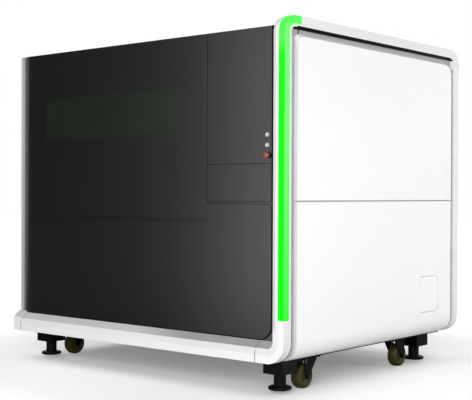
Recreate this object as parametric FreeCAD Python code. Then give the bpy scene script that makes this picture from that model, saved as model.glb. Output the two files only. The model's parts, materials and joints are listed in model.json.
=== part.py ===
import FreeCAD, Part

import math
import os

# An enclosed fibre laser cutting machine, in millimetres.
# +X is to the right of its front, +Y to the rear and +Z up.
# The origin is on the floor, under the middle of the overall width and depth.

# Overall sizes
overall_width = 1980.0
overall_depth = 1660.0
overall_height = 1786.0
belly_height = 163.5

# Frame that wraps round the right side
frame_width = 70.0
frame_facet = 35.0
frame_bevel_drop = 7.0
post_depth = 53.0
rail_height = 52.0
hoop_corner_radius = 80.0
roll_radius = 100.0

# Lip along the foot of the front and the rear
lip_facet_height = 38.2
lip_bevel_top = 69.0
lip_top = 100.2
end_cap_length = 67.0
end_cap_rise = 9.0
end_cap_rounding = 6.0
lip_seam = 1.5
corner_gusset_setback = 3.0
corner_seam_from_edge = 170.0

# Black front
front_recess = 45.0
front_left_margin = 43.0
front_roll_width = 45.0
front_roll_depth = 12.0
front_shadow_gap = 25.0
front_top_step = 41.2
front_corner_radius = 48.0
panel_depth = 28.0
door_depth = 25.0
seam_gap = 2.0
door_bottom_height = 829.5
left_rib_height = 9.0
right_rib_height = 9.0
mullion_from_right = 526.0
mullion_width = 15.0
drawer_bottom_height = 919.5
drawer_top_height = 1099.0

# Sheet and wall thicknesses
sheet = 3.0
wall_sheet = 4.0
liner_thickness = 10.0
partition_thickness = 15.0
partition_lap = 5.0
roof_thickness = 20.0

# Window in the door
window_left_margin = 209.0
window_width = 1001.0
window_bottom_height = 1262.0
window_height = 224.0
window_thickness = 6.0
window_rebate = 12.0

# Left shell
shell_inset = 5.0
shell_corner_radius = 10.0
shell_tip_radius = 14.0

# Cutting chamber
chamber_side_rim = 40.0
chamber_right_rim = 10.0
chamber_rim_top = 50.0
chamber_sill_height = 845.0

# Chassis and bed
chassis_height = 80.0
chassis_tube_width = 80.0
right_support_inset = 142.0
left_support_inset = 154.0
cheek_thickness = 60.0
cheek_end_inset = 130.0
cheek_top_height = 1000.0
right_cheek_offset = 405.0
left_cheek_shift = 24.0
cheek_corner_cut = 120.0
column_tube_offset = 520.0

# Slat table
slat_top_height = 880.0
slat_height = 100.0
slat_thickness = 4.0
slat_pitch = 90.0
slat_teeth = 16
tooth_depth = 14.0
slat_length = 1180.0
comb_thickness = 10.0
comb_inset = 40.0
comb_height = 90.0
comb_seat_depth = 40.0
comb_clearance = 0.5

# Scrap tray
tray_height = 260.0
tray_rim_height = 700.0
tray_taper = 90.0
tray_rim = 25.0

# Gantry
guide_width = 24.0
guide_height = 26.0
guide_waist = 4.0
magnet_width = 22.0
magnet_height = 10.0
gantry_depth = 150.0
gantry_height = 130.0
gantry_park = 480.0
gantry_chamfer = 18.0
beam_end_setback = 2.0
truck_wall = 6.0
truck_lap = 17.5
truck_crown = 20.0
guide_clearance = 0.4
guide_offset = 14.0
magnet_offset = 16.0
guide_end_margin = 60.0
x_guide_spread = 80.0
carriage_width = 190.0
carriage_plate = 14.0
carriage_overhang = 30.0
carriage_corner = 12.0
runner_inset = 10.0
runner_gap = 2.0
runner_wall = 9.0
slideway_depth = 20.0
slideway_wall = 8.0
head_width = 84.0
head_depth = 62.0
head_height = 230.0
head_body_radius = 27.0
head_edge_radius = 10.0
barrel_height = 70.0
barrel_neck = 14.0
barrel_cone_top = 26.0
barrel_waist = 6.0
barrel_waist_top = 40.0
socket_radius = 13.0
socket_step = 5.0
socket_collar = 12.0
socket_height = 50.0
nozzle_length = 26.0
nozzle_radius = 13.0
nozzle_tip_radius = 2.5
nozzle_bore = 1.0
nozzle_flange = 10.0
nozzle_step = 4.0
nozzle_gap = 60.0

# Controls
button_from_edge = 40.0
button_heights = (1234.6, 1185.3)
button_collar_radius = 11.5
button_collar_height = 2.8
button_collar_rim = 1.4
button_dish = 0.8
button_dish_share = 0.7
button_radius = 8.5
button_proud = 4.0
button_travel = 2.5
estop_from_edge = 38.0
estop_height = 1137.0
estop_head_radius = 14.75
estop_collar_radius = 13.0
estop_collar_height = 5.0
estop_collar_bevel = 2.0
estop_stem_show = 1.0
estop_travel = 4.0
estop_stem_radius = 6.0
estop_head_height = 12.0
estop_undercut = 3.6
estop_rim_height = 5.4
estop_dome_steps = 4
control_clearance = 0.4

# Keyboard drawer
drawer_length = 320.0
drawer_side_gap = 18.0
drawer_tray_height = 38.0
drawer_floor_above_edge = 30.0
housing_gap = 5.0
housing_length = 345.0
runner_strip_width = 12.5
runner_strip_height = 8.0
keyboard_width = 340.0
keyboard_depth = 140.0
keyboard_front_height = 10.0
keyboard_rear_height = 24.0
key_rows = 5
keyboard_from_front = 60.0
keyboard_edge = 10.0

# Right side panels and hatch
channel_depth = 20.0
channel_width = 35.0
panel_slope = 15.0
panel_corner_radius = 60.0
panel_foot_radius = 80.0
panel_top_gap = 41.0
side_seam_height = 921.6
flange_width = 18.0
flange_length = 80.0
flange_thickness = 6.0
hatch_from_rear = 339.5
hatch_width = 197.0
hatch_bottom_height = 304.0
hatch_height = 199.0
hatch_corner_radius = 20.0
hatch_gap = 2.0
hatch_seat = 14.0
hatch_axis_depth = 4.5
hatch_lug_radius = 4.2
hatch_lug_length = 16.0
hatch_lug_room = 1.0
hatch_swing_room = 0.3
hatch_swing_share = 0.6
hatch_pin_radius = 2.0
pin_clearance = 0.3

# Light strip
led_width = 40.0
led_thickness = 4.0
led_start_height = 370.0
led_end_setback = 131.0

# Feet and casters
foot_block_width = 114.0
foot_block_depth = 117.0
foot_block_height = 67.0
foot_column_radius = 30.0
foot_pad_radius = 57.0
foot_pad_height = 17.0
foot_pad_lift = 18.0
foot_pad_rounding = 7.0
foot_screw_radius = 15.0
foot_screw_clearance = 0.9
foot_screw_spare = 8.0
front_foot_inset = 158.0
rear_foot_inset = 254.0
front_caster_from_foot = 175.0
rear_caster_from_foot = 184.0
wheel_radius = 62.5
wheel_width = 56.0
wheel_rounding = 16.0
wheel_dish = 5.0
wheel_rim = 18.0
hub_radius = 24.0
hub_width = 62.0
axle_radius = 6.0
axle_head_radius = 10.0
axle_head_height = 5.0
caster_plate_width = 112.0
caster_plate_length = 205.0
caster_plate_thickness = 6.0
fork_thickness = 5.0
fork_boss_radius = 15.0
fork_top_near = 28.0
fork_top_far = 84.0
fork_slot_height = 26.0
fork_slot_length = 10.0
fork_slot_drop = 10.0
fork_slot_offset = 9.0
plate_slot_length = 18.0
plate_slot_width = 11.0
plate_slot_from_side = 15.0
plate_slot_from_end = 20.0
fork_clearance = 1.5

# Door hinges
hinge_axis_inset = 10.0
hinge_axis_below_top = 9.0
hinge_knuckle_radius = 7.0
hinge_knuckle_length = 40.0
hinge_leaf_length = 26.0
hinge_play = 0.5
hinge_pin_radius = 3.5
hinge_count = 3
roof_setback = 15.0

# Fittings on the rear and units inside
exhaust_radius = 75.0
exhaust_length = 42.0
exhaust_wall = 3.0
exhaust_flange_radius = 98.0
exhaust_flange_seat = 12.0
exhaust_x = -500.0
exhaust_below_roof = 271.8
gland_radius = 17.0
gland_bore = 11.0
gland_length = 34.0
gland_flange = 6.0
gland_step = 2.5
gland_hole_lap = 5.0
gland_x = 700.0
gland_height = 360.0
louvre_count = 8
louvre_pitch = 24.0
louvre_above_source_middle = 120.0
louvre_length = 220.0
louvre_height = 8.0
unit_mount_height = 14.0
source_height = 262.0
source_fin_count = 9
source_fin_depth = 12.0
source_from_rear = 180.0
source_length = 1200.0
source_fin_margin = 40.0
source_fin_base = 20.0
source_fin_pitch = 24.0
source_fin_width = 12.0
unit_mount_radius = 18.0
unit_mount_inset = 60.0
cabinet_headroom = 142.0
cabinet_depth = 1000.0
cabinet_leaf_margin = 10.0
cabinet_leaf_radius = 8.0

HALF_ROOT = math.sqrt(0.5)

# Places that follow from the sizes above
x_right = overall_width / 2.0
x_left = -x_right
y_rear = overall_depth / 2.0
y_front = -y_rear
front_plane = y_front + front_recess
rear_plane = y_rear - front_recess
front_left = x_left + front_left_margin
front_right = x_right - frame_width - front_shadow_gap
front_roll_radius = (front_roll_width ** 2 + front_roll_depth ** 2) / (2.0 * front_roll_depth)
front_top = overall_height - front_top_step
frame_inner = x_right - frame_width
post_back = y_front + post_depth
ledge_height = belly_height + lip_top
roll_centre_x = x_right - roll_radius
roll_centre_z = belly_height + roll_radius
fascia_front = front_plane + panel_depth
fascia_back = fascia_front + sheet
shell_outer = x_left + shell_inset
shell_inner = front_left - seam_gap + liner_thickness
left_support_x = x_left + left_support_inset
right_support_x = x_right - right_support_inset
side_wall_outer = x_right - channel_depth
side_wall_inner = side_wall_outer - wall_sheet
chassis_top = belly_height + chassis_height
mullion_x = x_right - mullion_from_right
mullion_left = mullion_x - mullion_width / 2.0
mullion_right = mullion_x + mullion_width / 2.0
partition_right = mullion_left + partition_lap
partition_left = partition_right - partition_thickness
roof_top = front_top - sheet
roof_bottom = roof_top - roof_thickness
exhaust_height = roof_bottom - exhaust_below_roof
door_right = mullion_left - seam_gap
door_back = front_plane + door_depth
chamber_left = shell_inner + chamber_side_rim
chamber_right = partition_left - chamber_right_rim
chamber_top = roof_bottom - chamber_rim_top
window_left = front_left + window_left_margin
window_right = window_left + window_width
window_top = window_bottom_height + window_height
cheek_front = y_front + cheek_end_inset
left_cheek_x = left_support_x - left_cheek_shift
hinge_y = door_back + hinge_axis_inset
hinge_z = front_top - hinge_axis_below_top
hinge_places = [front_left + (door_right - front_left) * (2 * i + 1) / (2.0 * hinge_count)
                for i in range(hinge_count)]
slat_centre_x = (left_cheek_x + right_cheek_offset) / 2.0
table_width = right_cheek_offset - left_cheek_x - cheek_thickness
slat_count = int((table_width - slat_pitch) // slat_pitch)
slat_places = [slat_centre_x + slat_pitch * (i - (slat_count - 1) / 2.0) for i in range(slat_count)]
comb_y = slat_length / 2.0 - comb_inset
guide_top = cheek_top_height + guide_height
truck_bottom = guide_top + guide_clearance
gantry_bottom = truck_bottom + truck_crown
gantry_front = gantry_park - gantry_depth / 2.0
gantry_middle_z = gantry_bottom + gantry_height / 2.0
carriage_back = gantry_front - guide_height - guide_clearance
carriage_front = carriage_back - carriage_plate
head_x = slat_centre_x
head_bottom = slat_top_height + nozzle_gap + nozzle_length
button_x = front_right - button_from_edge
estop_x = front_right - estop_from_edge
drawer_front_left = mullion_right + seam_gap
drawer_box_left = drawer_front_left + drawer_side_gap
drawer_box_right = front_right - drawer_side_gap
drawer_floor = drawer_bottom_height + drawer_floor_above_edge
keyboard_x = (drawer_box_left + drawer_box_right) / 2.0
panel_front = post_back + channel_width
panel_rear = -panel_front
panel_top = overall_height - rail_height - panel_top_gap
hatch_centre_y = y_rear - hatch_from_rear
hatch_front = hatch_centre_y - hatch_width / 2.0
hatch_rear = hatch_centre_y + hatch_width / 2.0
hatch_top = hatch_bottom_height + hatch_height
hatch_pin_x = x_right - hatch_axis_depth
hatch_pin_y = hatch_rear - hatch_gap / 2.0
hatch_lug_low = hatch_bottom_height + hatch_corner_radius
hatch_lug_high = hatch_top - hatch_corner_radius
hatch_swing_radius = hatch_axis_depth / HALF_ROOT + hatch_swing_room
foot_block_bottom = belly_height - foot_block_height
foot_column_bottom = foot_pad_lift + foot_pad_height
supports_x = (left_support_x, right_support_x)
feet_y = (y_front + front_foot_inset, y_rear - rear_foot_inset)
casters_y = (feet_y[0] + front_caster_from_foot, feet_y[1] - rear_caster_from_foot)
feet = [(x, y) for y in feet_y for x in supports_x]
casters = [(x, y) for y in casters_y for x in supports_x]
corner_names = ("front_left", "front_right", "rear_left", "rear_right")
source_left = column_tube_offset - chassis_tube_width / 2.0
source_right = right_support_x + chassis_tube_width / 2.0
source_bottom = chassis_top + unit_mount_height
source_top = source_bottom + source_height
cabinet_top = roof_bottom - cabinet_headroom



# Small geometry helpers
def vec(x, y, z):
    return FreeCAD.Vector(x, y, z)


def box(x0, x1, y0, y1, z0, z1):
    return Part.makeBox(x1 - x0, y1 - y0, z1 - z0, vec(x0, y0, z0))


def prism(points, travel):
    wire = Part.makePolygon(points + [points[0]])
    return Part.Face(wire).extrude(travel)


def prism_x(pairs, x0, x1):
    return prism([vec(x0, y, z) for y, z in pairs], vec(x1 - x0, 0, 0))


def prism_y(pairs, y0, y1):
    return prism([vec(x, y0, z) for x, z in pairs], vec(0, y1 - y0, 0))


def prism_z(pairs, z0, z1):
    return prism([vec(x, y, z0) for x, y in pairs], vec(0, 0, z1 - z0))


def rod(radius, start, end):
    axis = end.sub(start)
    return Part.makeCylinder(radius, axis.Length, start, axis)


def fuse(shapes):
    return shapes[0].multiFuse(shapes[1:]).removeSplitter()


def group(shapes):
    return Part.makeCompound(shapes)


def outline(points, place):
    """Closed wire through (u, v) points. Four numbers are an arc through one point to the next."""
    edges = []
    last = points[0]
    for point in points[1:] + [points[0]]:
        end = point[-2:]
        if len(point) == 4:
            edges.append(Part.Arc(place(*last), place(*point[:2]), place(*end)).toShape())
        else:
            edges.append(Part.LineSegment(place(*last), place(*end)).toShape())
        last = end
    return Part.Wire(edges)


def turned(points, base, axis):
    """Solid of revolution of an outline of (radius, distance along the axis) points."""
    wire = outline(points, lambda r, h: vec(r, 0, h))
    solid = Part.Face(wire).revolve(vec(0, 0, 0), vec(0, 0, 1), 360)
    solid.Placement = FreeCAD.Placement(base, FreeCAD.Rotation(vec(0, 0, 1), axis))
    return solid


def rounded_wire(u0, u1, v0, v1, radii, place):
    """Closed outline with its own radius at each corner, from the low one anticlockwise."""
    r0, r1, r2, r3 = radii
    corners = ((u0, v0, r0, 1, 1), (u1, v0, r1, -1, 1), (u1, v1, r2, -1, -1), (u0, v1, r3, 1, -1))
    ends = ((0, 1, 1, 0), (1, 0, 0, 1), (0, 1, 1, 0), (1, 0, 0, 1))
    marks = []
    for (u, v, r, su, sv), (a, b, c, d) in zip(corners, ends):
        centre_u = u + su * r
        centre_v = v + sv * r
        middle = (centre_u - su * r * HALF_ROOT, centre_v - sv * r * HALF_ROOT)
        marks.append(((u + su * r * a, v + sv * r * b), middle, (u + su * r * c, v + sv * r * d), r))
    edges = []
    for i in range(4):
        start, middle, end, r = marks[i]
        if r > 0:
            edges.append(Part.Arc(place(*start), place(*middle), place(*end)).toShape())
        after = marks[(i + 1) % 4][0]
        edges.append(Part.LineSegment(place(*end), place(*after)).toShape())
    return Part.Wire(edges)


def rounded_plate_x(y0, y1, z0, z1, radii, x0, x1):
    wire = rounded_wire(y0, y1, z0, z1, radii, lambda y, z: vec(x0, y, z))
    return Part.Face(wire).extrude(vec(x1 - x0, 0, 0))


def rounded_plate_y(x0, x1, z0, z1, radii, y0, y1):
    wire = rounded_wire(x0, x1, z0, z1, radii, lambda x, z: vec(x, y0, z))
    return Part.Face(wire).extrude(vec(0, y1 - y0, 0))


def rounded_plate_z(x, y, length_y, width_x, z0, z1):
    """Slot with round ends, its length along Y."""
    r = width_x / 2.0
    run = (length_y - width_x) / 2.0
    body = box(x - r, x + r, y - run, y + run, z0, z1)
    ends = [rod(r, vec(x, y + s * run, z0), vec(x, y + s * run, z1)) for s in (-1, 1)]
    return fuse([body] + ends)


def mirrored_y(shape):
    return shape.mirror(vec(0, 0, 0), vec(0, 1, 0))


# Frame round the right side
def frame_section():
    """Section as (X, distance in from the outer face) pairs, with the bevel on its inner half."""
    return [(x_right, 0.0), (x_right - frame_facet, 0.0), (frame_inner, frame_bevel_drop),
            (frame_inner, post_depth), (x_right, post_depth)]


def front_post():
    pairs = [(x, y_front + d) for x, d in frame_section()]
    return prism_z(pairs, roll_centre_z, overall_height - hoop_corner_radius)


def top_rail():
    depth_scale = rail_height / post_depth
    pairs = [(x, overall_height - (d if d < post_depth else d * depth_scale)) for x, d in frame_section()]
    return prism_y(pairs, y_front + hoop_corner_radius, y_rear - hoop_corner_radius)


def top_corner_body():
    """Casting that turns the frame from the front post onto the top rail."""
    centre_y = y_front + hoop_corner_radius
    centre_z = overall_height - hoop_corner_radius
    post_pairs = [(x, y_front + d) for x, d in frame_section()]
    points = [vec(x, y, centre_z) for x, y in post_pairs]
    wire = Part.makePolygon(points + [points[0]])
    turn = Part.Face(wire).revolve(vec(0, centre_y, centre_z), vec(1, 0, 0), -90)
    flange = box(side_wall_outer, side_wall_outer + flange_thickness, post_back, post_back + flange_width,
                 overall_height - rail_height - flange_length, overall_height - rail_height)
    return turn, flange


def bottom_corner_body():
    """Casting that turns the frame under the front into the lip, with the end of the ledge."""
    points = [vec(x, y_front + d, roll_centre_z) for x, d in frame_section()]
    wire = Part.makePolygon(points + [points[0]])
    turn = Part.Face(wire).revolve(vec(roll_centre_x, 0, roll_centre_z), vec(0, 1, 0), 90)
    ledge_points = [vec(frame_inner, y_front + frame_bevel_drop, roll_centre_z),
                    vec(roll_centre_x, front_plane, roll_centre_z),
                    vec(roll_centre_x, post_back, roll_centre_z),
                    vec(frame_inner, post_back, roll_centre_z)]
    ledge_wire = Part.makePolygon(ledge_points + [ledge_points[0]])
    ledge = Part.Face(ledge_wire).revolve(vec(roll_centre_x, 0, roll_centre_z), vec(0, 1, 0), 90)
    straight = prism_x(lip_section(), x_right - corner_seam_from_edge, roll_centre_x)
    return fuse([turn, ledge, straight])


def corner_gusset():
    """Plate on the ledge that fills the corner outside the front's rounded foot."""
    front = front_plane + corner_gusset_setback
    reach = front_corner_radius + seam_gap
    plate = box(front_right - front_corner_radius, frame_inner, front, post_back,
                roll_centre_z, ledge_height + front_corner_radius)
    room = rounded_plate_y(front_right - 2.0 * reach, front_right + seam_gap, ledge_height - seam_gap,
                           ledge_height + 2.0 * reach, (0, reach, 0, 0), front, post_back)
    return plate.cut(room)


def lip_section():
    """Section of the front lip as (Y, Z) pairs."""
    return [(y_front, belly_height), (y_front, belly_height + lip_facet_height),
            (y_front + frame_bevel_drop, belly_height + lip_bevel_top), (front_plane, ledge_height),
            (post_back, ledge_height), (post_back, belly_height)]


def front_lip():
    return prism_x(lip_section(), x_left + end_cap_length + lip_seam,
                   x_right - corner_seam_from_edge - lip_seam)


def front_lip_end():
    """Cap on the lip's left end, a little taller than the lip and rounded at its outer corner."""
    tall = [(min(y, front_plane), z + (end_cap_rise if z > belly_height else 0.0))
            for y, z in lip_section() if z < ledge_height or y < post_back]
    cap = prism_x(tall, x_left, x_left + end_cap_length)
    reach = 2.0 * lip_top
    rounding = rounded_plate_y(x_left, x_left + end_cap_length + reach, belly_height,
                               ledge_height + end_cap_rise + reach,
                               (end_cap_rounding, 0, 0, 0), y_front, post_back)
    plan = rounded_wire(x_left, x_left + end_cap_length + reach, y_front, post_back + reach,
                        (end_cap_rounding, 0, 0, 0), lambda x, y: vec(x, y, belly_height))
    footprint = Part.Face(plan).extrude(vec(0, 0, reach))
    return cap.common(rounding).common(footprint)


def light_strip():
    """Light diffuser that wraps the outer edge of the front post and turns onto the rail."""
    section = [(x_right, 0.0), (x_right - frame_facet, 0.0), (x_right - frame_facet, led_thickness),
               (x_right - led_thickness, led_thickness), (x_right - led_thickness, led_width),
               (x_right, led_width)]
    centre_y = y_front + hoop_corner_radius
    centre_z = overall_height - hoop_corner_radius
    upright = prism_z([(x, y_front + d) for x, d in section], led_start_height, centre_z)
    points = [vec(x, y_front + d, centre_z) for x, d in section]
    wire = Part.makePolygon(points + [points[0]])
    turn = Part.Face(wire).revolve(vec(0, centre_y, centre_z), vec(1, 0, 0), -90)
    level = prism_y([(x, overall_height - d) for x, d in section], centre_y, y_front + led_end_setback)
    return fuse([upright, turn, level])


def frame_posts():
    post = front_post()
    return group([post.cut(light_strip()), mirrored_y(post)])


def frame_top_rail():
    return top_rail().cut(light_strip())


def frame_top_corners():
    turn, flange = top_corner_body()
    front = turn.cut(light_strip())
    return group([fuse([front, flange]), mirrored_y(fuse([turn, flange]))])


def frame_bottom_corners():
    body = bottom_corner_body()
    return group([fuse([body, corner_gusset()]), mirrored_y(body)])


def bottom_lips():
    front = front_lip()
    return group([front, mirrored_y(front)])


def lip_end_caps():
    front = front_lip_end()
    return group([front, mirrored_y(front)])


# Outer skins
def left_shell():
    """Folded left cover with rounded corners, whose rounded front return runs up to the door."""
    tip = front_left - seam_gap

    def arc_middle(x, y, r, sx, sy):
        """Middle of a quarter arc about (x, y), on the side that the signs point to."""
        return x + sx * r * HALF_ROOT, y + sy * r * HALF_ROOT

    def skin(t):
        """Plan of the cover, or with a wall thickness t of the hollow inside it."""
        k = shell_corner_radius - t
        n = shell_tip_radius - t
        x = shell_outer + shell_corner_radius
        y = front_plane + shell_corner_radius
        tip_x = tip - shell_tip_radius
        tip_y = front_plane + shell_tip_radius
        points = [(tip_x + n, tip_y), arc_middle(tip_x, tip_y, n, 1, -1) + (tip_x, tip_y - n),
                  (x, y - k), arc_middle(x, y, k, -1, -1) + (x - k, y),
                  (x - k, -y), arc_middle(x, -y, k, -1, 1) + (x, k - y)]
        if t > 0:
            return points + [(tip, rear_plane - t), (tip, fascia_front), (tip_x + n, fascia_front)]
        return points + [(tip, rear_plane)]

    def plate(points, z0, z1):
        return Part.Face(outline(points, lambda x, y: vec(x, y, z0))).extrude(vec(0, 0, z1 - z0))

    cover = plate(skin(0.0), belly_height, front_top)
    hollow = plate(skin(sheet), belly_height + sheet, front_top - sheet)
    front_return = box(shell_outer + sheet, tip - sheet, fascia_front - sheet, fascia_front,
                       belly_height + sheet, front_top - sheet)
    return fuse([cover.cut(hollow), front_return])


def left_liner():
    """Inner skin of the left wall, stepped down in front so that the door's top edge can swing."""
    skin = box(front_left - seam_gap, shell_inner, fascia_front, rear_plane, belly_height, front_top)
    swing = box(front_left - seam_gap, shell_inner, fascia_front, hinge_y + roof_setback,
                roof_bottom, front_top)
    return skin.cut(swing)


def rear_panel():
    """Rear cover with a folded edge all round and a field of pressed louvre slots."""
    depth = partition_thickness
    outer = box(shell_inner, frame_inner, rear_plane - depth, rear_plane, ledge_height, roof_bottom)
    inner = box(shell_inner + sheet, frame_inner - sheet, rear_plane - depth, rear_plane - sheet,
                ledge_height + sheet, roof_bottom - sheet)
    slots = []
    slot_x = (partition_right + frame_inner) / 2.0
    first = source_bottom + source_height / 2.0 + louvre_above_source_middle
    for i in range(louvre_count):
        z = first + i * louvre_pitch
        slots.append(rounded_plate_y(slot_x - louvre_length / 2.0, slot_x + louvre_length / 2.0,
                                     z, z + louvre_height, [louvre_height * 0.49] * 4,
                                     rear_plane - depth, rear_plane))
    holes = [rod(exhaust_flange_radius - exhaust_flange_seat, vec(exhaust_x, rear_plane - depth, exhaust_height),
                 vec(exhaust_x, rear_plane, exhaust_height)),
             rod(gland_radius - gland_hole_lap, vec(gland_x, rear_plane - depth, gland_height),
                 vec(gland_x, rear_plane, gland_height))]
    return outer.cut(inner).cut(group(slots)).cut(group(holes))


def roof_panel():
    """Roof tray, notched along the door so that the hinges have room."""
    back = box(shell_inner, frame_inner, hinge_y + roof_setback, rear_plane, roof_bottom, roof_top)
    column = box(mullion_left, frame_inner, fascia_front, hinge_y + roof_setback, roof_bottom, roof_top)
    tongue = box(shell_inner, mullion_left, fascia_front, hinge_y + roof_setback,
                 roof_bottom, roof_bottom + sheet)
    hollow = box(shell_inner + sheet, frame_inner - sheet, hinge_y + roof_setback + sheet,
                 rear_plane - sheet, roof_bottom, roof_top - sheet)
    return fuse([back, column, tongue]).cut(hollow)


def rolled_slab(outer_x, thickness, y0, y1, z_top):
    """Upright sheet whose foot rolls under the body about the frame's lower bend."""
    big = roll_radius - (x_right - outer_x)
    small = big - thickness
    cx = roll_centre_x
    cz = roll_centre_z
    b = big * HALF_ROOT
    s = small * HALF_ROOT
    points = [(cx + big, z_top), (cx + big, cz), (cx + b, cz - b, cx, cz - big), (cx, cz - small),
              (cx + s, cz - s, cx + small, cz), (cx + small, z_top)]
    face = Part.Face(outline(points, lambda x, z: vec(x, y0, z)))
    return face.extrude(vec(0, y1 - y0, 0))


def side_wall():
    """Structural right wall at the bottom of the channel round the side panels."""
    wall = rolled_slab(side_wall_outer, wall_sheet, post_back, -post_back, overall_height - rail_height)
    rail_room = box(frame_inner - 1.0, x_right, post_back, -post_back,
                    overall_height - rail_height, overall_height)
    service_hole = box(roll_centre_x, x_right, hatch_front + hatch_seat, hatch_rear - hatch_seat,
                       hatch_bottom_height + hatch_seat, hatch_top - hatch_seat)
    corner_room = group([rod(hoop_corner_radius, vec(roll_centre_x, y, overall_height - hoop_corner_radius),
                             vec(x_right, y, overall_height - hoop_corner_radius))
                         for y in (y_front + hoop_corner_radius, y_rear - hoop_corner_radius)])
    corner_core = group([rod(hoop_corner_radius - post_depth,
                             vec(roll_centre_x, y, overall_height - hoop_corner_radius),
                             vec(x_right, y, overall_height - hoop_corner_radius))
                         for y in (y_front + hoop_corner_radius, y_rear - hoop_corner_radius)])
    above = group([box(roll_centre_x, x_right, y, y + hoop_corner_radius,
                       overall_height - hoop_corner_radius, overall_height)
                   for y in (y_front, y_rear - hoop_corner_radius)])
    return wall.cut(rail_room).cut(service_hole).cut(corner_room.common(above).cut(corner_core))


def side_outline():
    """Space that the side panels fill, with edges that slope down into the channel."""
    radii = (panel_foot_radius, panel_foot_radius, panel_corner_radius, panel_corner_radius)
    wide = [r + panel_slope for r in radii]
    s = panel_slope
    face = rounded_wire(panel_front, panel_rear, belly_height, panel_top, radii,
                        lambda y, z: vec(x_right, y, z))
    foot = rounded_wire(panel_front - s, panel_rear + s, belly_height - s, panel_top + s, wide,
                        lambda y, z: vec(side_wall_outer, y, z))
    slope = Part.makeLoft([foot, face], True, True)
    inner = Part.Face(foot).extrude(vec(roll_centre_x - side_wall_outer, 0, 0))
    return fuse([slope, inner])


def side_panels():
    return rolled_slab(x_right, channel_depth, panel_front - panel_slope, panel_rear + panel_slope,
                       panel_top + panel_slope).common(side_outline())


def side_panel_upper():
    below = box(0, 2 * x_right, y_front, y_rear, 0, side_seam_height + seam_gap / 2.0)
    return side_panels().cut(below)


def hatch_rod(radius, z0, z1):
    return rod(radius, vec(hatch_pin_x, hatch_pin_y, z0), vec(hatch_pin_x, hatch_pin_y, z1))


def hatch_lugs(radius, spare):
    """Two round lugs on the hatch's hinge line, drawn with some room to spare on every side."""
    low = hatch_lug_low
    high = hatch_lug_high
    length = hatch_lug_length + spare
    return group([hatch_rod(radius, low - spare, low + length), hatch_rod(radius, high - length, high + spare)])


def side_panel_lower():
    """Lower side panel with the hatch opening and the hatch's two fixed hinge lugs."""
    above = box(0, 2 * x_right, y_front, y_rear, side_seam_height - seam_gap / 2.0, overall_height)
    opening = rounded_plate_x(hatch_front, hatch_rear, hatch_bottom_height, hatch_top,
                              [hatch_corner_radius] * 4, side_wall_outer - 1.0, x_right + 1.0)
    swing = hatch_rod(hatch_swing_radius, hatch_lug_low - hatch_corner_radius * hatch_swing_share,
                      hatch_lug_high + hatch_corner_radius * hatch_swing_share)
    panel = side_panels().cut(above).cut(opening).cut(swing)
    reach = hatch_swing_radius + hatch_lug_room
    parts = [panel]
    for z0 in (hatch_lug_low, hatch_lug_high - hatch_lug_length):
        z1 = z0 + hatch_lug_length
        parts.append(hatch_rod(hatch_lug_radius, z0, z1))
        parts.append(box(hatch_pin_x - hatch_lug_radius, hatch_pin_x, hatch_pin_y, hatch_pin_y + reach, z0, z1))
    return fuse(parts).cut(hatch_rod(hatch_pin_radius, hatch_lug_low, hatch_lug_high))


def hatch_pin():
    return hatch_rod(hatch_pin_radius, hatch_lug_low, hatch_lug_high)


def side_hatch():
    """Flush service hatch that swings out on a pin in its rear seam."""
    z0 = hatch_bottom_height + hatch_gap
    z1 = hatch_top - hatch_gap
    y0 = hatch_front + hatch_gap
    y1 = hatch_rear - hatch_gap
    r = hatch_corner_radius - hatch_gap
    leaf = rounded_plate_x(y0, y1, z0, z1, [r] * 4, side_wall_outer + control_clearance, x_right)
    pocket = box(side_wall_outer, x_right - sheet, y0 + hatch_seat, y1 - hatch_seat,
                 z0 + hatch_seat, z1 - hatch_seat)
    low = hatch_lug_low + hatch_lug_length + control_clearance
    high = hatch_lug_high - hatch_lug_length - control_clearance
    knuckle = hatch_rod(hatch_lug_radius, low, high)
    lug_room = hatch_lugs(hatch_lug_radius + hatch_lug_room, control_clearance)
    bore = hatch_rod(hatch_pin_radius + pin_clearance, z0, z1)
    return fuse([leaf.cut(pocket), knuckle]).cut(lug_room).cut(bore)


# Black front
def rolled_cover(x1, back, t, z0, z1):
    """Front cover whose left edge rolls back, or with a wall thickness t the hollow inside it."""
    centre_x = front_left + front_roll_width
    centre_y = front_plane + front_roll_radius
    radius = front_roll_radius - t
    reach = front_roll_width - t
    half = math.asin(reach / radius) / 2.0
    middle = (centre_x - radius * math.sin(half), centre_y - radius * math.cos(half))
    end = (front_left + t, centre_y - math.sqrt(radius ** 2 - reach ** 2))
    points = [(x1 - t, front_plane + t), (centre_x, front_plane + t), middle + end,
              (front_left + t, back), (x1 - t, back)]
    return Part.Face(outline(points, lambda x, y: vec(x, y, z0))).extrude(vec(0, 0, z1 - z0))


def front_fascia():
    """Inner front frame, with the ribs that show between the panels."""
    z_top = roof_bottom
    plate = box(shell_inner, side_wall_inner, fascia_front, fascia_back, ledge_height, z_top)
    chamber = box(chamber_left, chamber_right, fascia_front - 1.0, fascia_back + 1.0,
                  chamber_sill_height, chamber_top)
    drawer = box(drawer_box_left - housing_gap, drawer_box_right + housing_gap, fascia_front - 1.0,
                 fascia_back + 1.0, drawer_bottom_height + housing_gap, drawer_top_height - housing_gap)
    mullion = box(mullion_left, mullion_right, front_plane, fascia_front,
                  door_bottom_height - seam_gap - left_rib_height, front_top)
    left_rib = rolled_cover(mullion_left, fascia_front, 0.0,
                            door_bottom_height - seam_gap - left_rib_height, door_bottom_height - seam_gap)
    right_rib = box(mullion_right, front_right, front_plane, fascia_front,
                    drawer_bottom_height - seam_gap - right_rib_height, drawer_bottom_height - seam_gap)
    return fuse([plate.cut(chamber).cut(drawer), mullion, left_rib, right_rib])


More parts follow.
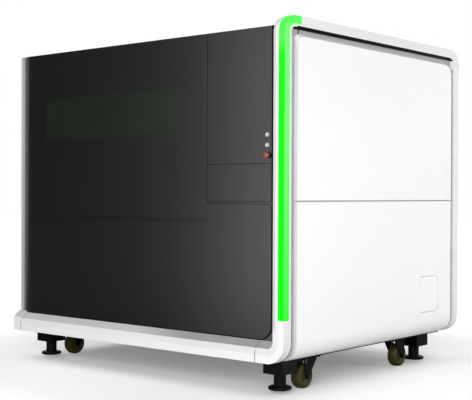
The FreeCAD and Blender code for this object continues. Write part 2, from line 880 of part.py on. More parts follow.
def control_panel():
    panel = box(drawer_front_left, front_right, front_plane, fascia_front,
                drawer_top_height + seam_gap / 2.0, front_top)
    holes = [rod(button_radius + 1.0, vec(button_x, front_plane, z), vec(button_x, fascia_front, z))
             for z in button_heights]
    holes.append(rod(estop_stem_radius + 1.0, vec(estop_x, front_plane, estop_height),
                     vec(estop_x, fascia_front, estop_height)))
    hollow = box(drawer_front_left + sheet, front_right - sheet, front_plane + sheet, fascia_front,
                 drawer_top_height + seam_gap / 2.0 + sheet, front_top - sheet)
    return panel.cut(group(holes)).cut(hollow)


def lower_panel():
    """One-piece lower cover whose top steps up under the drawer."""
    left_top = door_bottom_height - 2.0 * seam_gap - left_rib_height
    right_top = drawer_bottom_height - 2.0 * seam_gap - right_rib_height
    right = rounded_plate_y(mullion_right + seam_gap, front_right, ledge_height, right_top,
                            (0, front_corner_radius, 0, 0), front_plane, fascia_front)
    left = rolled_cover(mullion_right + seam_gap, fascia_front, 0.0, ledge_height, left_top)
    hollow_right = rounded_plate_y(mullion_right + seam_gap + sheet, front_right - sheet, ledge_height + sheet,
                                   right_top - sheet, (0, front_corner_radius - sheet, 0, 0),
                                   front_plane + sheet, fascia_front)
    hollow_left = rolled_cover(mullion_right + seam_gap + 3.0 * sheet, fascia_front, sheet,
                               ledge_height + sheet, left_top - sheet)
    return fuse([left, right]).cut(hollow_left).cut(hollow_right)


def door_panel():
    """Lift-up door: a folded tray with a frame round the window and the moving hinge knuckles."""
    z0 = door_bottom_height
    outer = rolled_cover(door_right, door_back, 0.0, z0, front_top)
    rim = window_rebate * 2.0
    inner = rolled_cover(door_right, door_back, sheet, z0 + sheet, front_top - sheet)
    frame = box(window_left - rim, window_right + rim, front_plane + sheet, door_back,
                window_bottom_height - rim, window_top + rim)
    pane = box(window_left, window_right, front_plane, front_plane + window_thickness,
               window_bottom_height, window_top)
    sight = box(window_left + window_rebate, window_right - window_rebate, front_plane, door_back,
                window_bottom_height + window_rebate, window_top - window_rebate)
    shell = outer.cut(inner.cut(frame)).cut(pane).cut(sight)
    knuckles = []
    for x in hinge_places:
        length = hinge_knuckle_length / 2.0
        arm = box(x - length, x + length, front_plane + sheet, hinge_y,
                  hinge_z - hinge_knuckle_radius, hinge_z + hinge_knuckle_radius / 2.0)
        knuckle = rod(hinge_knuckle_radius, vec(x - length, hinge_y, hinge_z), vec(x + length, hinge_y, hinge_z))
        knuckles.append(fuse([arm, knuckle]))
    bores = group([rod(hinge_pin_radius + pin_clearance, vec(x - hinge_knuckle_length, hinge_y, hinge_z),
                       vec(x + hinge_knuckle_length, hinge_y, hinge_z)) for x in hinge_places])
    return fuse([shell] + knuckles).cut(bores)


def door_window():
    return box(window_left, window_right, front_plane, front_plane + window_thickness,
               window_bottom_height, window_top)


def door_hinges():
    """Fixed leaves on the roof edge, each with two knuckles and the pin through them."""
    leaves = []
    for x in hinge_places:
        inner = hinge_knuckle_length / 2.0 + hinge_play
        outer = inner + hinge_leaf_length
        parts = [rod(hinge_pin_radius, vec(x - outer, hinge_y, hinge_z), vec(x + outer, hinge_y, hinge_z))]
        for a, b in ((x - outer, x - inner), (x + inner, x + outer)):
            parts.append(rod(hinge_knuckle_radius, vec(a, hinge_y, hinge_z), vec(b, hinge_y, hinge_z)))
            parts.append(box(a, b, hinge_y, hinge_y + roof_setback, hinge_z - hinge_knuckle_radius,
                             hinge_z + sheet))
        leaves.append(fuse(parts))
    return group(leaves)


# Controls
def button_collars():
    """Bezels of the two push buttons."""
    r = button_collar_radius
    bore = button_radius + control_clearance
    low = button_collar_rim
    high = button_collar_height
    return group([turned([(bore, 0), (r, 0), (r, low), (r - low, high), (bore, high)],
                         vec(button_x, front_plane, z), vec(0, -1, 0)) for z in button_heights])


def estop_collar():
    """Black collar that the stop button's stem slides in."""
    r = estop_collar_radius
    bore = estop_stem_radius + control_clearance
    top = estop_collar_height
    low = top - estop_collar_bevel
    return turned([(bore, 0), (r, 0), (r, low), (r - estop_collar_bevel, top), (bore, top)],
                  vec(estop_x, front_plane, estop_height), vec(0, -1, 0))


def push_button(height):
    """Plunger with a shallow dished face and a barrel through the panel."""
    face = vec(button_x, front_plane, height)
    barrel = panel_depth - 2.0 * button_travel
    top = button_proud
    return turned([(0, -barrel), (button_radius, -barrel), (button_radius, top - button_dish),
                   (button_radius - button_dish, top), (button_radius * button_dish_share, top),
                   (0, top - button_dish)], face, vec(0, -1, 0))


def push_button_upper():
    return push_button(button_heights[0])


def push_button_lower():
    return push_button(button_heights[1])


def estop_stem():
    face = vec(estop_x, front_plane, estop_height)
    top = estop_collar_height + estop_travel + estop_stem_show
    barrel = panel_depth - 2.0 * estop_travel
    return turned([(0, -barrel), (estop_stem_radius, -barrel), (estop_stem_radius, top), (0, top)],
                  face, vec(0, -1, 0))


def estop_head():
    """Mushroom head that is pushed in and twisted to let go."""
    face = vec(estop_x, front_plane, estop_height)
    low = estop_collar_height + estop_travel + estop_stem_show
    r = estop_head_radius
    rim = low + estop_rim_height
    top = low + estop_head_height
    steps = [math.radians(90.0 * i / estop_dome_steps) for i in range(estop_dome_steps)]
    dome = [(r * math.cos(a), rim + (top - rim) * math.sin(a)) for a in steps]
    return turned([(0, low), (r - estop_undercut, low), (r, low + estop_undercut)] + dome + [(0, top)],
                  face, vec(0, -1, 0))


# Keyboard drawer
def drawer_front():
    return box(drawer_front_left, front_right, front_plane, door_back,
               drawer_bottom_height, drawer_top_height - seam_gap / 2.0)


def drawer_tray():
    """Folded tray behind the drawer front, open at the top."""
    y1 = door_back + drawer_length
    z0 = drawer_floor
    z1 = z0 + drawer_tray_height
    outer = box(drawer_box_left, drawer_box_right, door_back, y1, z0, z1)
    inner = box(drawer_box_left + sheet, drawer_box_right - sheet, door_back + sheet, y1 - sheet,
                z0 + sheet, z1)
    return outer.cut(inner)


def drawer_housing():
    """Open-fronted box that carries the drawer on two runner strips."""
    left = drawer_box_left - housing_gap
    right = drawer_box_right + housing_gap
    z0 = drawer_bottom_height + housing_gap
    z1 = drawer_top_height - housing_gap
    y1 = fascia_back + housing_length
    outer = box(left - sheet, right + sheet, fascia_back, y1, z0 - sheet, z1 + sheet)
    inner = box(left, right, fascia_back, y1 - sheet, z0, z1)
    runner_z = drawer_floor - control_clearance
    runners = [box(x, x + runner_strip_width, fascia_back, y1 - sheet, runner_z - runner_strip_height, runner_z)
               for x in (left, right - runner_strip_width)]
    return fuse([outer.cut(inner)] + runners)


def keyboard():
    """Wedge-shaped keyboard with a step for each row of keys."""
    x0 = keyboard_x - keyboard_width / 2.0
    x1 = keyboard_x + keyboard_width / 2.0
    y0 = door_back + sheet + keyboard_from_front
    z0 = drawer_floor + sheet
    run = keyboard_depth - 2.0 * keyboard_edge
    rise = (keyboard_rear_height - keyboard_front_height) / key_rows
    pairs = [(y0, z0), (y0, z0 + keyboard_front_height)]
    for i in range(key_rows):
        y = y0 + keyboard_edge + run * i / key_rows
        z = z0 + keyboard_front_height + rise * i
        pairs += [(y, z), (y, z + rise)]
    pairs += [(y0 + keyboard_depth, z0 + keyboard_rear_height), (y0 + keyboard_depth, z0)]
    return prism_x(pairs, x0, x1)


# Chassis, bed and table
def chassis():
    """Welded ring of square tube with cross tubes under the bed and the column."""
    w = chassis_tube_width / 2.0
    y1 = -post_back
    long_front = box(shell_inner, roll_centre_x, -y1, -y1 + 2 * w, belly_height, chassis_top)
    long_rear = box(shell_inner, roll_centre_x, y1 - 2 * w, y1, belly_height, chassis_top)
    cross = [box(x - w, x + w, -y1 + 2 * w, y1 - 2 * w, belly_height, chassis_top)
             for x in (left_support_x, right_cheek_offset, column_tube_offset, right_support_x)]
    return fuse([long_front, long_rear] + cross)


def bed_cheeks():
    """Two upright box weldments that carry the gantry guides."""
    t = cheek_thickness / 2.0
    cut = cheek_corner_cut
    pairs = [(cheek_front, chassis_top), (-cheek_front, chassis_top),
             (-cheek_front, cheek_top_height - cut), (-cheek_front - cut / 2.0, cheek_top_height),
             (cheek_front + cut / 2.0, cheek_top_height), (cheek_front, cheek_top_height - cut)]
    return group([prism_x(pairs, x - t, x + t) for x in (left_cheek_x, right_cheek_offset)])


def guide_section(x, z0):
    """Waisted rail section as (X, Z) pairs."""
    w = guide_width / 2.0
    n = w - guide_waist
    h = guide_height
    return [(x - w, z0), (x + w, z0), (x + w, z0 + 0.35 * h), (x + n, z0 + 0.5 * h), (x + n, z0 + 0.65 * h),
            (x + w, z0 + 0.8 * h), (x + w, z0 + h), (x - w, z0 + h), (x - w, z0 + 0.8 * h),
            (x - n, z0 + 0.65 * h), (x - n, z0 + 0.5 * h), (x - w, z0 + 0.35 * h)]


def guide_rails():
    """Guide rails and magnet tracks on the two cheeks."""
    y1 = -cheek_front - guide_end_margin
    solids = []
    for x, side in ((left_cheek_x, -1), (right_cheek_offset, 1)):
        rail_x = x + side * guide_offset
        magnet_x = x - side * magnet_offset
        solids.append(prism_y(guide_section(rail_x, cheek_top_height), -y1, y1))
        solids.append(box(magnet_x - magnet_width / 2.0, magnet_x + magnet_width / 2.0, -y1, y1,
                          cheek_top_height, cheek_top_height + magnet_height))
    return group(solids)


def slat_combs():
    """Two notched bars across the bed, with a seat for every slat."""
    z1 = slat_top_height - slat_height + comb_seat_depth
    z0 = z1 - comb_height
    x0 = left_cheek_x + cheek_thickness / 2.0
    x1 = right_cheek_offset - cheek_thickness / 2.0
    half = slat_thickness / 2.0 + comb_clearance
    bars = []
    for y in (-comb_y, comb_y):
        bar = box(x0, x1, y - comb_thickness / 2.0, y + comb_thickness / 2.0, z0, z1)
        seats = group([box(x - half, x + half, y - comb_thickness, y + comb_thickness,
                           z1 - comb_seat_depth, z1) for x in slat_places])
        bars.append(bar.cut(seats))
    return group(bars)


def slats():
    """Upright slats with a saw-tooth top edge that the sheet lies on."""
    y0 = -slat_length / 2.0
    step = slat_length / slat_teeth
    z0 = slat_top_height - slat_height
    pairs = [(y0, z0), (-y0, z0)]
    for i in range(slat_teeth):
        y = -y0 - i * step
        pairs += [(y, slat_top_height - tooth_depth), (y - step / 2.0, slat_top_height)]
    pairs.append((y0, slat_top_height - tooth_depth))
    return group([prism_x(pairs, x - slat_thickness / 2.0, x + slat_thickness / 2.0) for x in slat_places])


def scrap_tray():
    """Tapered tray whose upright rim is bolted between the cheeks."""
    x0 = left_cheek_x + cheek_thickness / 2.0
    x1 = right_cheek_offset - cheek_thickness / 2.0
    y1 = comb_y - comb_thickness
    z2 = tray_rim_height
    z1 = z2 - tray_rim
    z0 = z2 - tray_height

    def loop(a, z):
        points = [vec(x0 + a, -y1 + a, z), vec(x1 - a, -y1 + a, z), vec(x1 - a, y1 - a, z),
                  vec(x0 + a, y1 - a, z)]
        return Part.makePolygon(points + [points[0]])

    def vessel(t):
        """Outer form of the tray, or with a wall thickness t the hollow inside it."""
        funnel = Part.makeLoft([loop(tray_taper + t, z0 + t), loop(t, z1)], True, True)
        return fuse([funnel, box(x0 + t, x1 - t, -y1 + t, y1 - t, z1, z2)])

    return vessel(0.0).cut(vessel(sheet))


def partition():
    """Wall between the cutting chamber and the control column."""
    return box(partition_left, partition_right, fascia_back, rear_plane - partition_thickness,
               chassis_top, roof_bottom)


# Gantry, carriage and head
def gantry_beam():
    """Beam across the bed, with a truck at each end that runs on the guide rails."""
    x0 = left_cheek_x - cheek_thickness / 2.0
    x1 = right_cheek_offset + cheek_thickness / 2.0 - beam_end_setback
    c = gantry_chamfer
    y0 = gantry_front
    y1 = gantry_front + gantry_depth
    z0 = gantry_bottom
    z1 = gantry_bottom + gantry_height
    pairs = [(y0, z0 + c), (y0 + c, z0), (y1 - c, z0), (y1, z0 + c), (y1, z1 - c), (y1 - c, z1),
             (y0 + c, z1), (y0, z1 - c)]
    beam = prism_x(pairs, x0, x1)
    trucks = []
    for x, side in ((left_cheek_x, -1), (right_cheek_offset, 1)):
        rail_x = x + side * guide_offset
        reach = guide_width / 2.0 + truck_wall
        block = box(rail_x - reach, rail_x + reach, y0 + c, y1 - c, guide_top - truck_lap, z0 + c)
        slot = box(rail_x - guide_width / 2.0 - guide_clearance, rail_x + guide_width / 2.0 + guide_clearance,
                   y0, y1, cheek_top_height, truck_bottom)
        trucks.append(block.cut(slot))
    return fuse([beam] + trucks)


def gantry_rails():
    """Pair of rails on the beam's front face for the carriage."""
    x0 = left_cheek_x + cheek_thickness
    x1 = right_cheek_offset - cheek_thickness
    w = guide_width / 2.0
    rails = []
    for side in (-1, 1):
        z = gantry_middle_z + side * x_guide_spread / 2.0
        rails.append(box(x0, x1, gantry_front - guide_height, gantry_front, z - w * 0.5, z + w * 0.5))
    return group(rails)


def carriage():
    """Carriage plate with runner blocks that wrap the rails, and a slideway for the head."""
    half = carriage_width / 2.0
    top = gantry_middle_z + x_guide_spread / 2.0 + carriage_overhang
    bottom = gantry_middle_z - x_guide_spread / 2.0 - carriage_overhang
    plate = rounded_plate_y(head_x - half, head_x + half, bottom, top, [carriage_corner] * 4,
                            carriage_front, carriage_back)
    blocks = []
    w = guide_width / 4.0 + guide_clearance
    for side in (-1, 1):
        z = gantry_middle_z + side * x_guide_spread / 2.0
        block = box(head_x - half + runner_inset, head_x + half - runner_inset, carriage_back,
                    gantry_front - runner_gap, z - w - runner_wall, z + w + runner_wall)
        slot = box(head_x - half, head_x + half, carriage_back, gantry_front, z - w, z + w)
        blocks.append(block.cut(slot))
    way = head_width / 2.0 + guide_clearance
    y0 = carriage_front - slideway_depth
    cheeks = [box(x, x + slideway_wall, y0, carriage_front, bottom + slideway_wall, top - slideway_wall)
              for x in (head_x - way - slideway_wall, head_x + way)]
    return fuse([plate] + blocks + cheeks)


def cutting_head():
    """Head block on its slideway, a turned optics barrel below and the fibre socket on top."""
    back = carriage_front - guide_clearance
    front = back - head_depth
    body = rounded_wire(head_x - head_width / 2.0, head_x + head_width / 2.0, front, back,
                        (head_edge_radius, head_edge_radius, 0, 0),
                        lambda x, y: vec(x, y, head_bottom + barrel_height))
    block = Part.Face(body).extrude(vec(0, 0, head_height - barrel_height))
    middle_y = (back + front) / 2.0
    r = head_body_radius
    waist = r - barrel_waist
    barrel = turned([(0, 0), (nozzle_radius, 0), (nozzle_radius, barrel_neck), (waist, barrel_cone_top),
                     (waist, barrel_waist_top), (r, barrel_waist_top + barrel_waist), (r, barrel_height),
                     (0, barrel_height)], vec(head_x, middle_y, head_bottom), vec(0, 0, 1))
    collar = socket_radius + socket_step
    socket = turned([(0, 0), (collar, 0), (collar, socket_collar), (socket_radius, socket_collar + socket_step),
                     (socket_radius, socket_height), (0, socket_height)],
                    vec(head_x, middle_y, head_bottom + head_height), vec(0, 0, 1))
    return fuse([block, barrel, socket])


def nozzle():
    """Copper nozzle with a conical tip and its bore."""
    middle_y = carriage_front - guide_clearance - head_depth / 2.0
    tip = nozzle_tip_radius
    n = nozzle_length
    flange = n - nozzle_flange
    return turned([(nozzle_bore, 0), (tip, 0), (nozzle_radius - nozzle_step, flange), (nozzle_radius, flange),
                   (nozzle_radius, n), (nozzle_bore, n)],
                  vec(head_x, middle_y, head_bottom - n), vec(0, 0, 1))


# Feet and casters
def foot_blocks():
    """Blocks under the chassis that hold the levelling screws."""
    blocks = []
    w = foot_block_width / 2.0
    d = foot_block_depth / 2.0
    for x, y in feet:
        block = box(x - w, x + w, y - d, y + d, foot_block_bottom, belly_height)
        bore = rod(foot_screw_radius + foot_screw_clearance, vec(x, y, foot_block_bottom),
                   vec(x, y, belly_height))
        blocks.append(block.cut(bore))
    return group(blocks)


def levelling_foot(place):
    """Column and round pad, with the screw that runs up into its block."""
    x, y = place
    r = foot_pad_radius
    h = foot_pad_height
    e = foot_pad_rounding
    top = foot_block_bottom - control_clearance - foot_pad_lift
    screw_top = belly_height - foot_pad_lift - foot_screw_spare
    bulge = r - e * (1 - HALF_ROOT)
    dip = e * (1 - HALF_ROOT)
    return turned([(0, 0), (r - e, 0), (bulge, dip), (r, e), (r, h - e), (bulge, h - dip), (r - e, h),
                   (foot_column_radius, h), (foot_column_radius, top), (foot_screw_radius, top),
                   (foot_screw_radius, screw_top), (0, screw_top)],
                  vec(x, y, foot_pad_lift), vec(0, 0, 1))


def caster_forks():
    """Pressed caster forks: a bolting plate, two legs that taper to the axle, and the axle."""
    forks = []
    for x, y in casters:
        top = belly_height
        under = top - caster_plate_thickness
        inner = hub_width / 2.0 + fork_clearance
        outer = inner + fork_thickness
        plate = box(x - caster_plate_width / 2.0, x + caster_plate_width / 2.0,
                    y - caster_plate_length / 2.0, y + caster_plate_length / 2.0, under, top)
        hole_x = caster_plate_width / 2.0 - plate_slot_from_side
        hole_y = caster_plate_length / 2.0 - plate_slot_from_end
        slots = group([rounded_plate_z(x + sx * hole_x, y + sy * hole_y, plate_slot_length,
                                       plate_slot_width, under, top)
                       for sx in (-1, 1) for sy in (-1, 1)])
        parts = [plate.cut(slots)]
        b = fork_boss_radius
        inward = -1 if y > 0 else 1
        slot_y = y - inward * fork_slot_offset
        slot_top = under - fork_slot_drop
        for side in (-1, 1):
            xa = x + side * inner
            xb = x + side * outer
            leg = prism_x([(y - inward * fork_top_near, under), (y + inward * fork_top_far, under),
                           (y + inward * b, wheel_radius), (y - inward * b, wheel_radius)],
                          min(xa, xb), max(xa, xb))
            slot = rounded_plate_x(slot_y - fork_slot_length / 2.0, slot_y + fork_slot_length / 2.0,
                                   slot_top - fork_slot_height, slot_top,
                                   [fork_slot_length * 0.49] * 4, min(xa, xb), max(xa, xb))
            leg = leg.cut(slot)
            boss = rod(b, vec(xa, y, wheel_radius), vec(xb, y, wheel_radius))
            head_end = x + side * (outer + axle_head_height)
            head = rod(axle_head_radius, vec(xb, y, wheel_radius), vec(head_end, y, wheel_radius))
            parts += [leg, boss, head]
        parts.append(rod(axle_radius, vec(x - outer, y, wheel_radius), vec(x + outer, y, wheel_radius)))
        forks.append(fuse(parts))
    return group(forks)


def caster_wheel(place):
    """Wheel with a rounded tread, a dished web and a hub bored for the axle."""
    x, y = place
    w = wheel_width / 2.0
    h = hub_width / 2.0
    e = wheel_rounding
    r = wheel_radius
    bore = axle_radius + pin_clearance
    bulge = e * (1 - HALF_ROOT)
    web = w - wheel_dish
    rim = r - wheel_rim
    half = [(bore, h), (hub_radius, h), (hub_radius, web), (rim - wheel_dish, web), (rim, w),
            (r - e, w), (r - bulge, w - bulge), (r, w - e)]
    return turned(half + [(a, -z) for a, z in reversed(half)], vec(x, y, wheel_radius), vec(1, 0, 0))


# Fittings and units inside
def exhaust_spigot():
    """Flanged spigot for the fume extraction hose."""
    r = exhaust_radius
    t = exhaust_wall
    return turned([(r - t, 0), (exhaust_flange_radius, 0), (exhaust_flange_radius, t), (r, t),
                   (r, exhaust_length), (r - t, exhaust_length)],
                  vec(exhaust_x, rear_plane, exhaust_height), vec(0, 1, 0))


def cable_gland():
    """Gland for the supply cable, empty."""
    r = gland_radius
    n = gland_length
    b = gland_bore
    return turned([(b, 0), (r, 0), (r, gland_flange), (r - gland_step, gland_flange), (r - gland_step, n),
                   (b, n)], vec(gland_x, rear_plane, gland_height), vec(0, 1, 0))


def laser_source():
    """Laser source on four mounts in the foot of the column, with cooling fins on its right side."""
    y1 = y_rear - source_from_rear
    y0 = y1 - source_length
    body = box(source_left, source_right, y0, y1, source_bottom, source_top)
    fins = [source_bottom + source_fin_base + i * source_fin_pitch for i in range(source_fin_count)]
    gaps = group([box(source_right - source_fin_depth, source_right, y0 + source_fin_margin,
                      y1 - source_fin_margin, z, z + source_fin_width) for z in fins])
    mounts = [rod(unit_mount_radius, vec(x, y, chassis_top), vec(x, y, source_bottom))
              for x in (column_tube_offset, right_support_x)
              for y in (y0 + unit_mount_inset, y1 - unit_mount_inset)]
    return fuse([body.cut(gaps)] + mounts)


def electrical_cabinet():
    """Switchgear cabinet on top of the source, with a door leaf on its right side."""
    y1 = y_rear - source_from_rear
    y0 = y1 - cabinet_depth
    m = cabinet_leaf_margin
    body = box(source_left, source_right - sheet, y0, y1, source_top, cabinet_top)
    leaf = rounded_plate_x(y0 + m, y1 - m, source_top + m, cabinet_top - m, [cabinet_leaf_radius] * 4,
                           source_right - sheet, source_right + 2 * sheet)
    return fuse([body, leaf])


PARTS = {
    "chassis": chassis,
    "bed_cheeks": bed_cheeks,
    "guide_rails": guide_rails,
    "slat_combs": slat_combs,
    "slats": slats,
    "scrap_tray": scrap_tray,
    "partition": partition,
    "left_shell": left_shell,
    "left_liner": left_liner,
    "rear_panel": rear_panel,
    "roof_panel": roof_panel,
    "side_wall": side_wall,
    "side_panel_upper": side_panel_upper,
    "side_panel_lower": side_panel_lower,
    "side_hatch": side_hatch,
    "hatch_pin": hatch_pin,
    "front_fascia": front_fascia,
    "control_panel": control_panel,
    "lower_panel": lower_panel,
    "door_panel": door_panel,
    "door_window": door_window,
    "door_hinges": door_hinges,
    "bottom_lips": bottom_lips,
    "lip_end_caps": lip_end_caps,
    "frame_bottom_corners": frame_bottom_corners,
    "frame_posts": frame_posts,
    "frame_top_corners": frame_top_corners,
    "frame_top_rail": frame_top_rail,
    "light_strip": light_strip,
    "button_collars": button_collars,
    "estop_collar": estop_collar,
    "push_button_upper": push_button_upper,
    "push_button_lower": push_button_lower,
    "estop_stem": estop_stem,
    "estop_head": estop_head,
    "drawer_front": drawer_front,
    "drawer_tray": drawer_tray,
    "drawer_housing": drawer_housing,
    "keyboard": keyboard,
    "gantry_beam": gantry_beam,
    "gantry_rails": gantry_rails,
    "carriage": carriage,
    "cutting_head": cutting_head,
    "nozzle": nozzle,
    "foot_blocks": foot_blocks,
    "caster_forks": caster_forks,
    "exhaust_spigot": exhaust_spigot,
    "cable_gland": cable_gland,
    "laser_source": laser_source,
    "electrical_cabinet": electrical_cabinet,
}


def export(name, shape):
    shape.exportStep(os.path.join("parts", name + ".step"))


os.makedirs("parts", exist_ok=True)
for part_name, make in PARTS.items():
    export(part_name, make())
for corner_name, foot_place, caster_place in zip(corner_names, feet, casters):
    export("levelling_foot_" + corner_name, levelling_foot(foot_place))
    export("caster_wheel_" + corner_name, caster_wheel(caster_place))
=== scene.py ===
import json
import math

import bmesh
import bpy
from mathutils import Matrix, Vector

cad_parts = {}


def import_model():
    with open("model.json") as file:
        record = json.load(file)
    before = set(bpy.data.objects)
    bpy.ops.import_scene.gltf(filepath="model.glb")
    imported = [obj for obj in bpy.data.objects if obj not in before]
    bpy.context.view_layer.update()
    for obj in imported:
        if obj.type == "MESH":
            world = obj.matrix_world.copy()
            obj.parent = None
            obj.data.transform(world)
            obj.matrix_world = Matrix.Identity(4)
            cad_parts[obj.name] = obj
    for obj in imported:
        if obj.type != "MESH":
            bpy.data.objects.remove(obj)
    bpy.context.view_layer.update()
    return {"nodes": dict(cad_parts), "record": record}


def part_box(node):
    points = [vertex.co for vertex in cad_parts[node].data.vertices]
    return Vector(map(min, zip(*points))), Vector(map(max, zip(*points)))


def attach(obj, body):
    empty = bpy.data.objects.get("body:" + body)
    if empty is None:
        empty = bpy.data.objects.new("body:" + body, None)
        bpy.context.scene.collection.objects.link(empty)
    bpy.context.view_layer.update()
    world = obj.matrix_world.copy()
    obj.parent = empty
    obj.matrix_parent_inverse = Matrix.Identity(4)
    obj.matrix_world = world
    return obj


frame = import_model()
nodes = frame["nodes"]
slot_of_node = {part["node"]: part["material_slot"] for part in frame["record"]["subparts"]}

# Camera, found from the straight edges of the photograph, in metres and degrees
CAMERA_PLACE = Vector((3.8829, -4.6077, 0.9536))
CAMERA_YAW = 40.104
CAMERA_PITCH = 0.3228
CAMERA_ROLL = 0.2315
CAMERA_LENS = 79.064
SENSOR_WIDTH = 36.0

# Directions
RIGHT = Vector((1, 0, 0))
LEFT = Vector((-1, 0, 0))
BACK = Vector((0, 1, 0))
FRONT = Vector((0, -1, 0))
UP = Vector((0, 0, 1))
DOWN = Vector((0, 0, -1))

# Studio: a dark flag in reflections, by its angle from the front towards the left in radians, and
# the point that the floor's part of it is measured from
FLAG_START = (math.radians(36.0), math.radians(45.0))
FLAG_END = (math.radians(56.0), math.radians(86.0))
FLAG_DARK = 0.01
FLAG_CENTRE = Vector((3.883, 3.038, 0.0))
SKY_FILL = 0.16

# Floor: half the machine's length and width. Its glow, where 1 is white, is the sum of a change
# near that rectangle and one far from it, each as start, end and the glow at both. Far away it
# passes 1. The lean is more glow on the left, by X. The flag is the share of the floor that
# reflections lose in the dark sector
FLOOR_REACH = 30.0
FLOOR_HALF = Vector((0.79, 0.67, 0.0))
FLOOR_EDGE = (0.0, 0.23, 0.19, 0.32)
FLOOR_FAR = (0.5, 3.2, 0.0, 0.8)
FLOOR_LEAN = (-0.5, 1.4, 0.13, -0.04)
FLOOR_FLAG = 0.93

# Paint that changes by position, standing in for shade in the photograph: where each change starts
# and ends in metres, by the axis that it goes along
PANEL_FRONT_Y = (-0.757, -0.722)
PANEL_JOINT_OFF = (0.0020, 0.0042)
SHELL_SIDE_X = (-0.9895, -0.9875)
SHELL_FLANGE_X = (-0.978, -0.945)
LEDGE_X = (0.0, 0.35)
LEDGE_Z = (0.27, 0.33)
INNER_RETURN_X = (0.935, 0.939)
INNER_RETURN_Z = (0.30, 0.34)
DOOR_EDGE_X = (-0.945, -0.868)
STRIP_FLANK_Z = (0.4, 1.2)
STRIP_BEND_Z = (1.71, 1.765)
STRIP_FRONT_Z = (1.60, 1.67)

WHITE = (0.88, 0.88, 0.882)
COVER_SCREW = 0.0055
SUPPORT_BOLT = 0.0085

CORNERS = ("front_left", "front_right", "rear_left", "rear_right")
ROUND_SEGMENTS = 24
SMOOTH_ANGLE = math.radians(32)


# Materials
class Finish:
    """A node material around one Principled BSDF, with short calls for the nodes that feed it."""

    def __init__(self, name, **sockets):
        self.material = bpy.data.materials.new(name)
        self.material.use_nodes = True
        self.tree = self.material.node_tree
        self.bsdf = self.tree.nodes["Principled BSDF"]
        self.set(**sockets)

    @classmethod
    def reopen(cls, material):
        """Takes up a material that is already made, to change it."""
        finish = cls.__new__(cls)
        finish.material = material
        finish.tree = material.node_tree
        finish.bsdf = finish.tree.nodes["Principled BSDF"]
        return finish

    def feed(self, socket, value):
        if isinstance(value, bpy.types.NodeSocket):
            self.tree.links.new(value, socket)
        else:
            socket.default_value = value

    def add(self, kind, inputs=None, **properties):
        node = self.tree.nodes.new("ShaderNode" + kind)
        for name, value in properties.items():
            setattr(node, name, value)
        for socket, value in (inputs or {}).items():
            self.feed(node.inputs[socket], value)
        return node

    def place(self, stretch=(1, 1, 1)):
        """Object coordinates in metres, stretched for grain that runs one way."""
        coordinate = self.add("TexCoord").outputs["Object"]
        if stretch == (1, 1, 1):
            return coordinate
        return self.add("Mapping", {"Vector": coordinate, "Scale": stretch}).outputs["Vector"]

    def axes(self, vector):
        """The X, Y and Z of a vector, by name."""
        return self.add("SeparateXYZ", {"Vector": vector}).outputs

    def paint(self):
        """The socket that feeds the base colour so far."""
        return self.bsdf.inputs["Base Color"].links[0].from_socket

    def noise(self, scale, detail=2.0, roughness=0.5, stretch=(1, 1, 1)):
        inputs = {"Vector": self.place(stretch), "Scale": scale, "Detail": detail,
                  "Roughness": roughness}
        return self.add("TexNoise", inputs).outputs["Fac"]

    def spread(self, value, low, high, start=0.3, end=0.7):
        """Value between start and end, mapped onto low to high."""
        inputs = {"Value": value, "From Min": start, "From Max": end, "To Min": low, "To Max": high}
        return self.add("MapRange", inputs).outputs["Result"]

    def between(self, value, low, high):
        """Colour between two colours."""
        mix = self.add("Mix", {"Factor": value}, data_type="RGBA")
        self.feed(mix.inputs[6], (*low, 1))
        self.feed(mix.inputs[7], (*high, 1))
        return mix.outputs[2]

    def tint(self, value, base, layer):
        """A layer of colour over a colour that comes from other nodes."""
        mix = self.add("Mix", {"Factor": value}, data_type="RGBA")
        self.feed(mix.inputs[6], base)
        self.feed(mix.inputs[7], (*layer, 1) if isinstance(layer, tuple) else layer)
        return mix.outputs[2]

    def sum(self, operation, first, second):
        node = self.add("Math", operation=operation)
        self.feed(node.inputs[0], first)
        self.feed(node.inputs[1], second)
        return node.outputs[0]

    def soft_edges(self, radius):
        return self.add("Bevel", {"Radius": radius}, samples=4).outputs["Normal"]

    def bump(self, height, strength, distance, normal=None):
        node = self.add("Bump", {"Height": height, "Strength": strength, "Distance": distance})
        if normal is not None:
            self.feed(node.inputs["Normal"], normal)
        return node.outputs["Normal"]

    def set(self, **sockets):
        for socket, value in sockets.items():
            self.feed(self.bsdf.inputs[socket.replace("_", " ")], value)
        return self.material


def shade(color, factor):
    return tuple(min(1.0, c * factor) for c in color)


def powder_coat(name, color, roughness, peel=0.10, variation=0.03, specular=0.5, uneven=0.025):
    """Baked powder coat: fine orange peel, faint clouding of the colour and uneven gloss."""
    f = Finish(name)
    cloud = f.noise(3.0, 4.0, 0.6)
    speck = f.noise(900.0, 1.0)
    deeper, paler = shade(color, 1.0 - variation), shade(color, 1.0 + variation)
    clouded = f.between(f.spread(cloud, 0.0, 1.0), deeper, paler)
    gloss = f.sum("ADD", f.spread(f.noise(22.0, 3.0), -uneven, uneven), roughness)
    normal = f.bump(f.noise(420.0, 2.0, 0.4), peel, 0.0006, f.soft_edges(0.0016))
    normal = f.bump(speck, peel * 0.5, 0.0002, normal)
    return f.set(Base_Color=clouded, Roughness=gloss, Normal=normal, Specular_IOR_Level=specular)


def white_coat():
    return powder_coat("white_coat", WHITE, 0.42, peel=0.06, variation=0.008, specular=0.3)


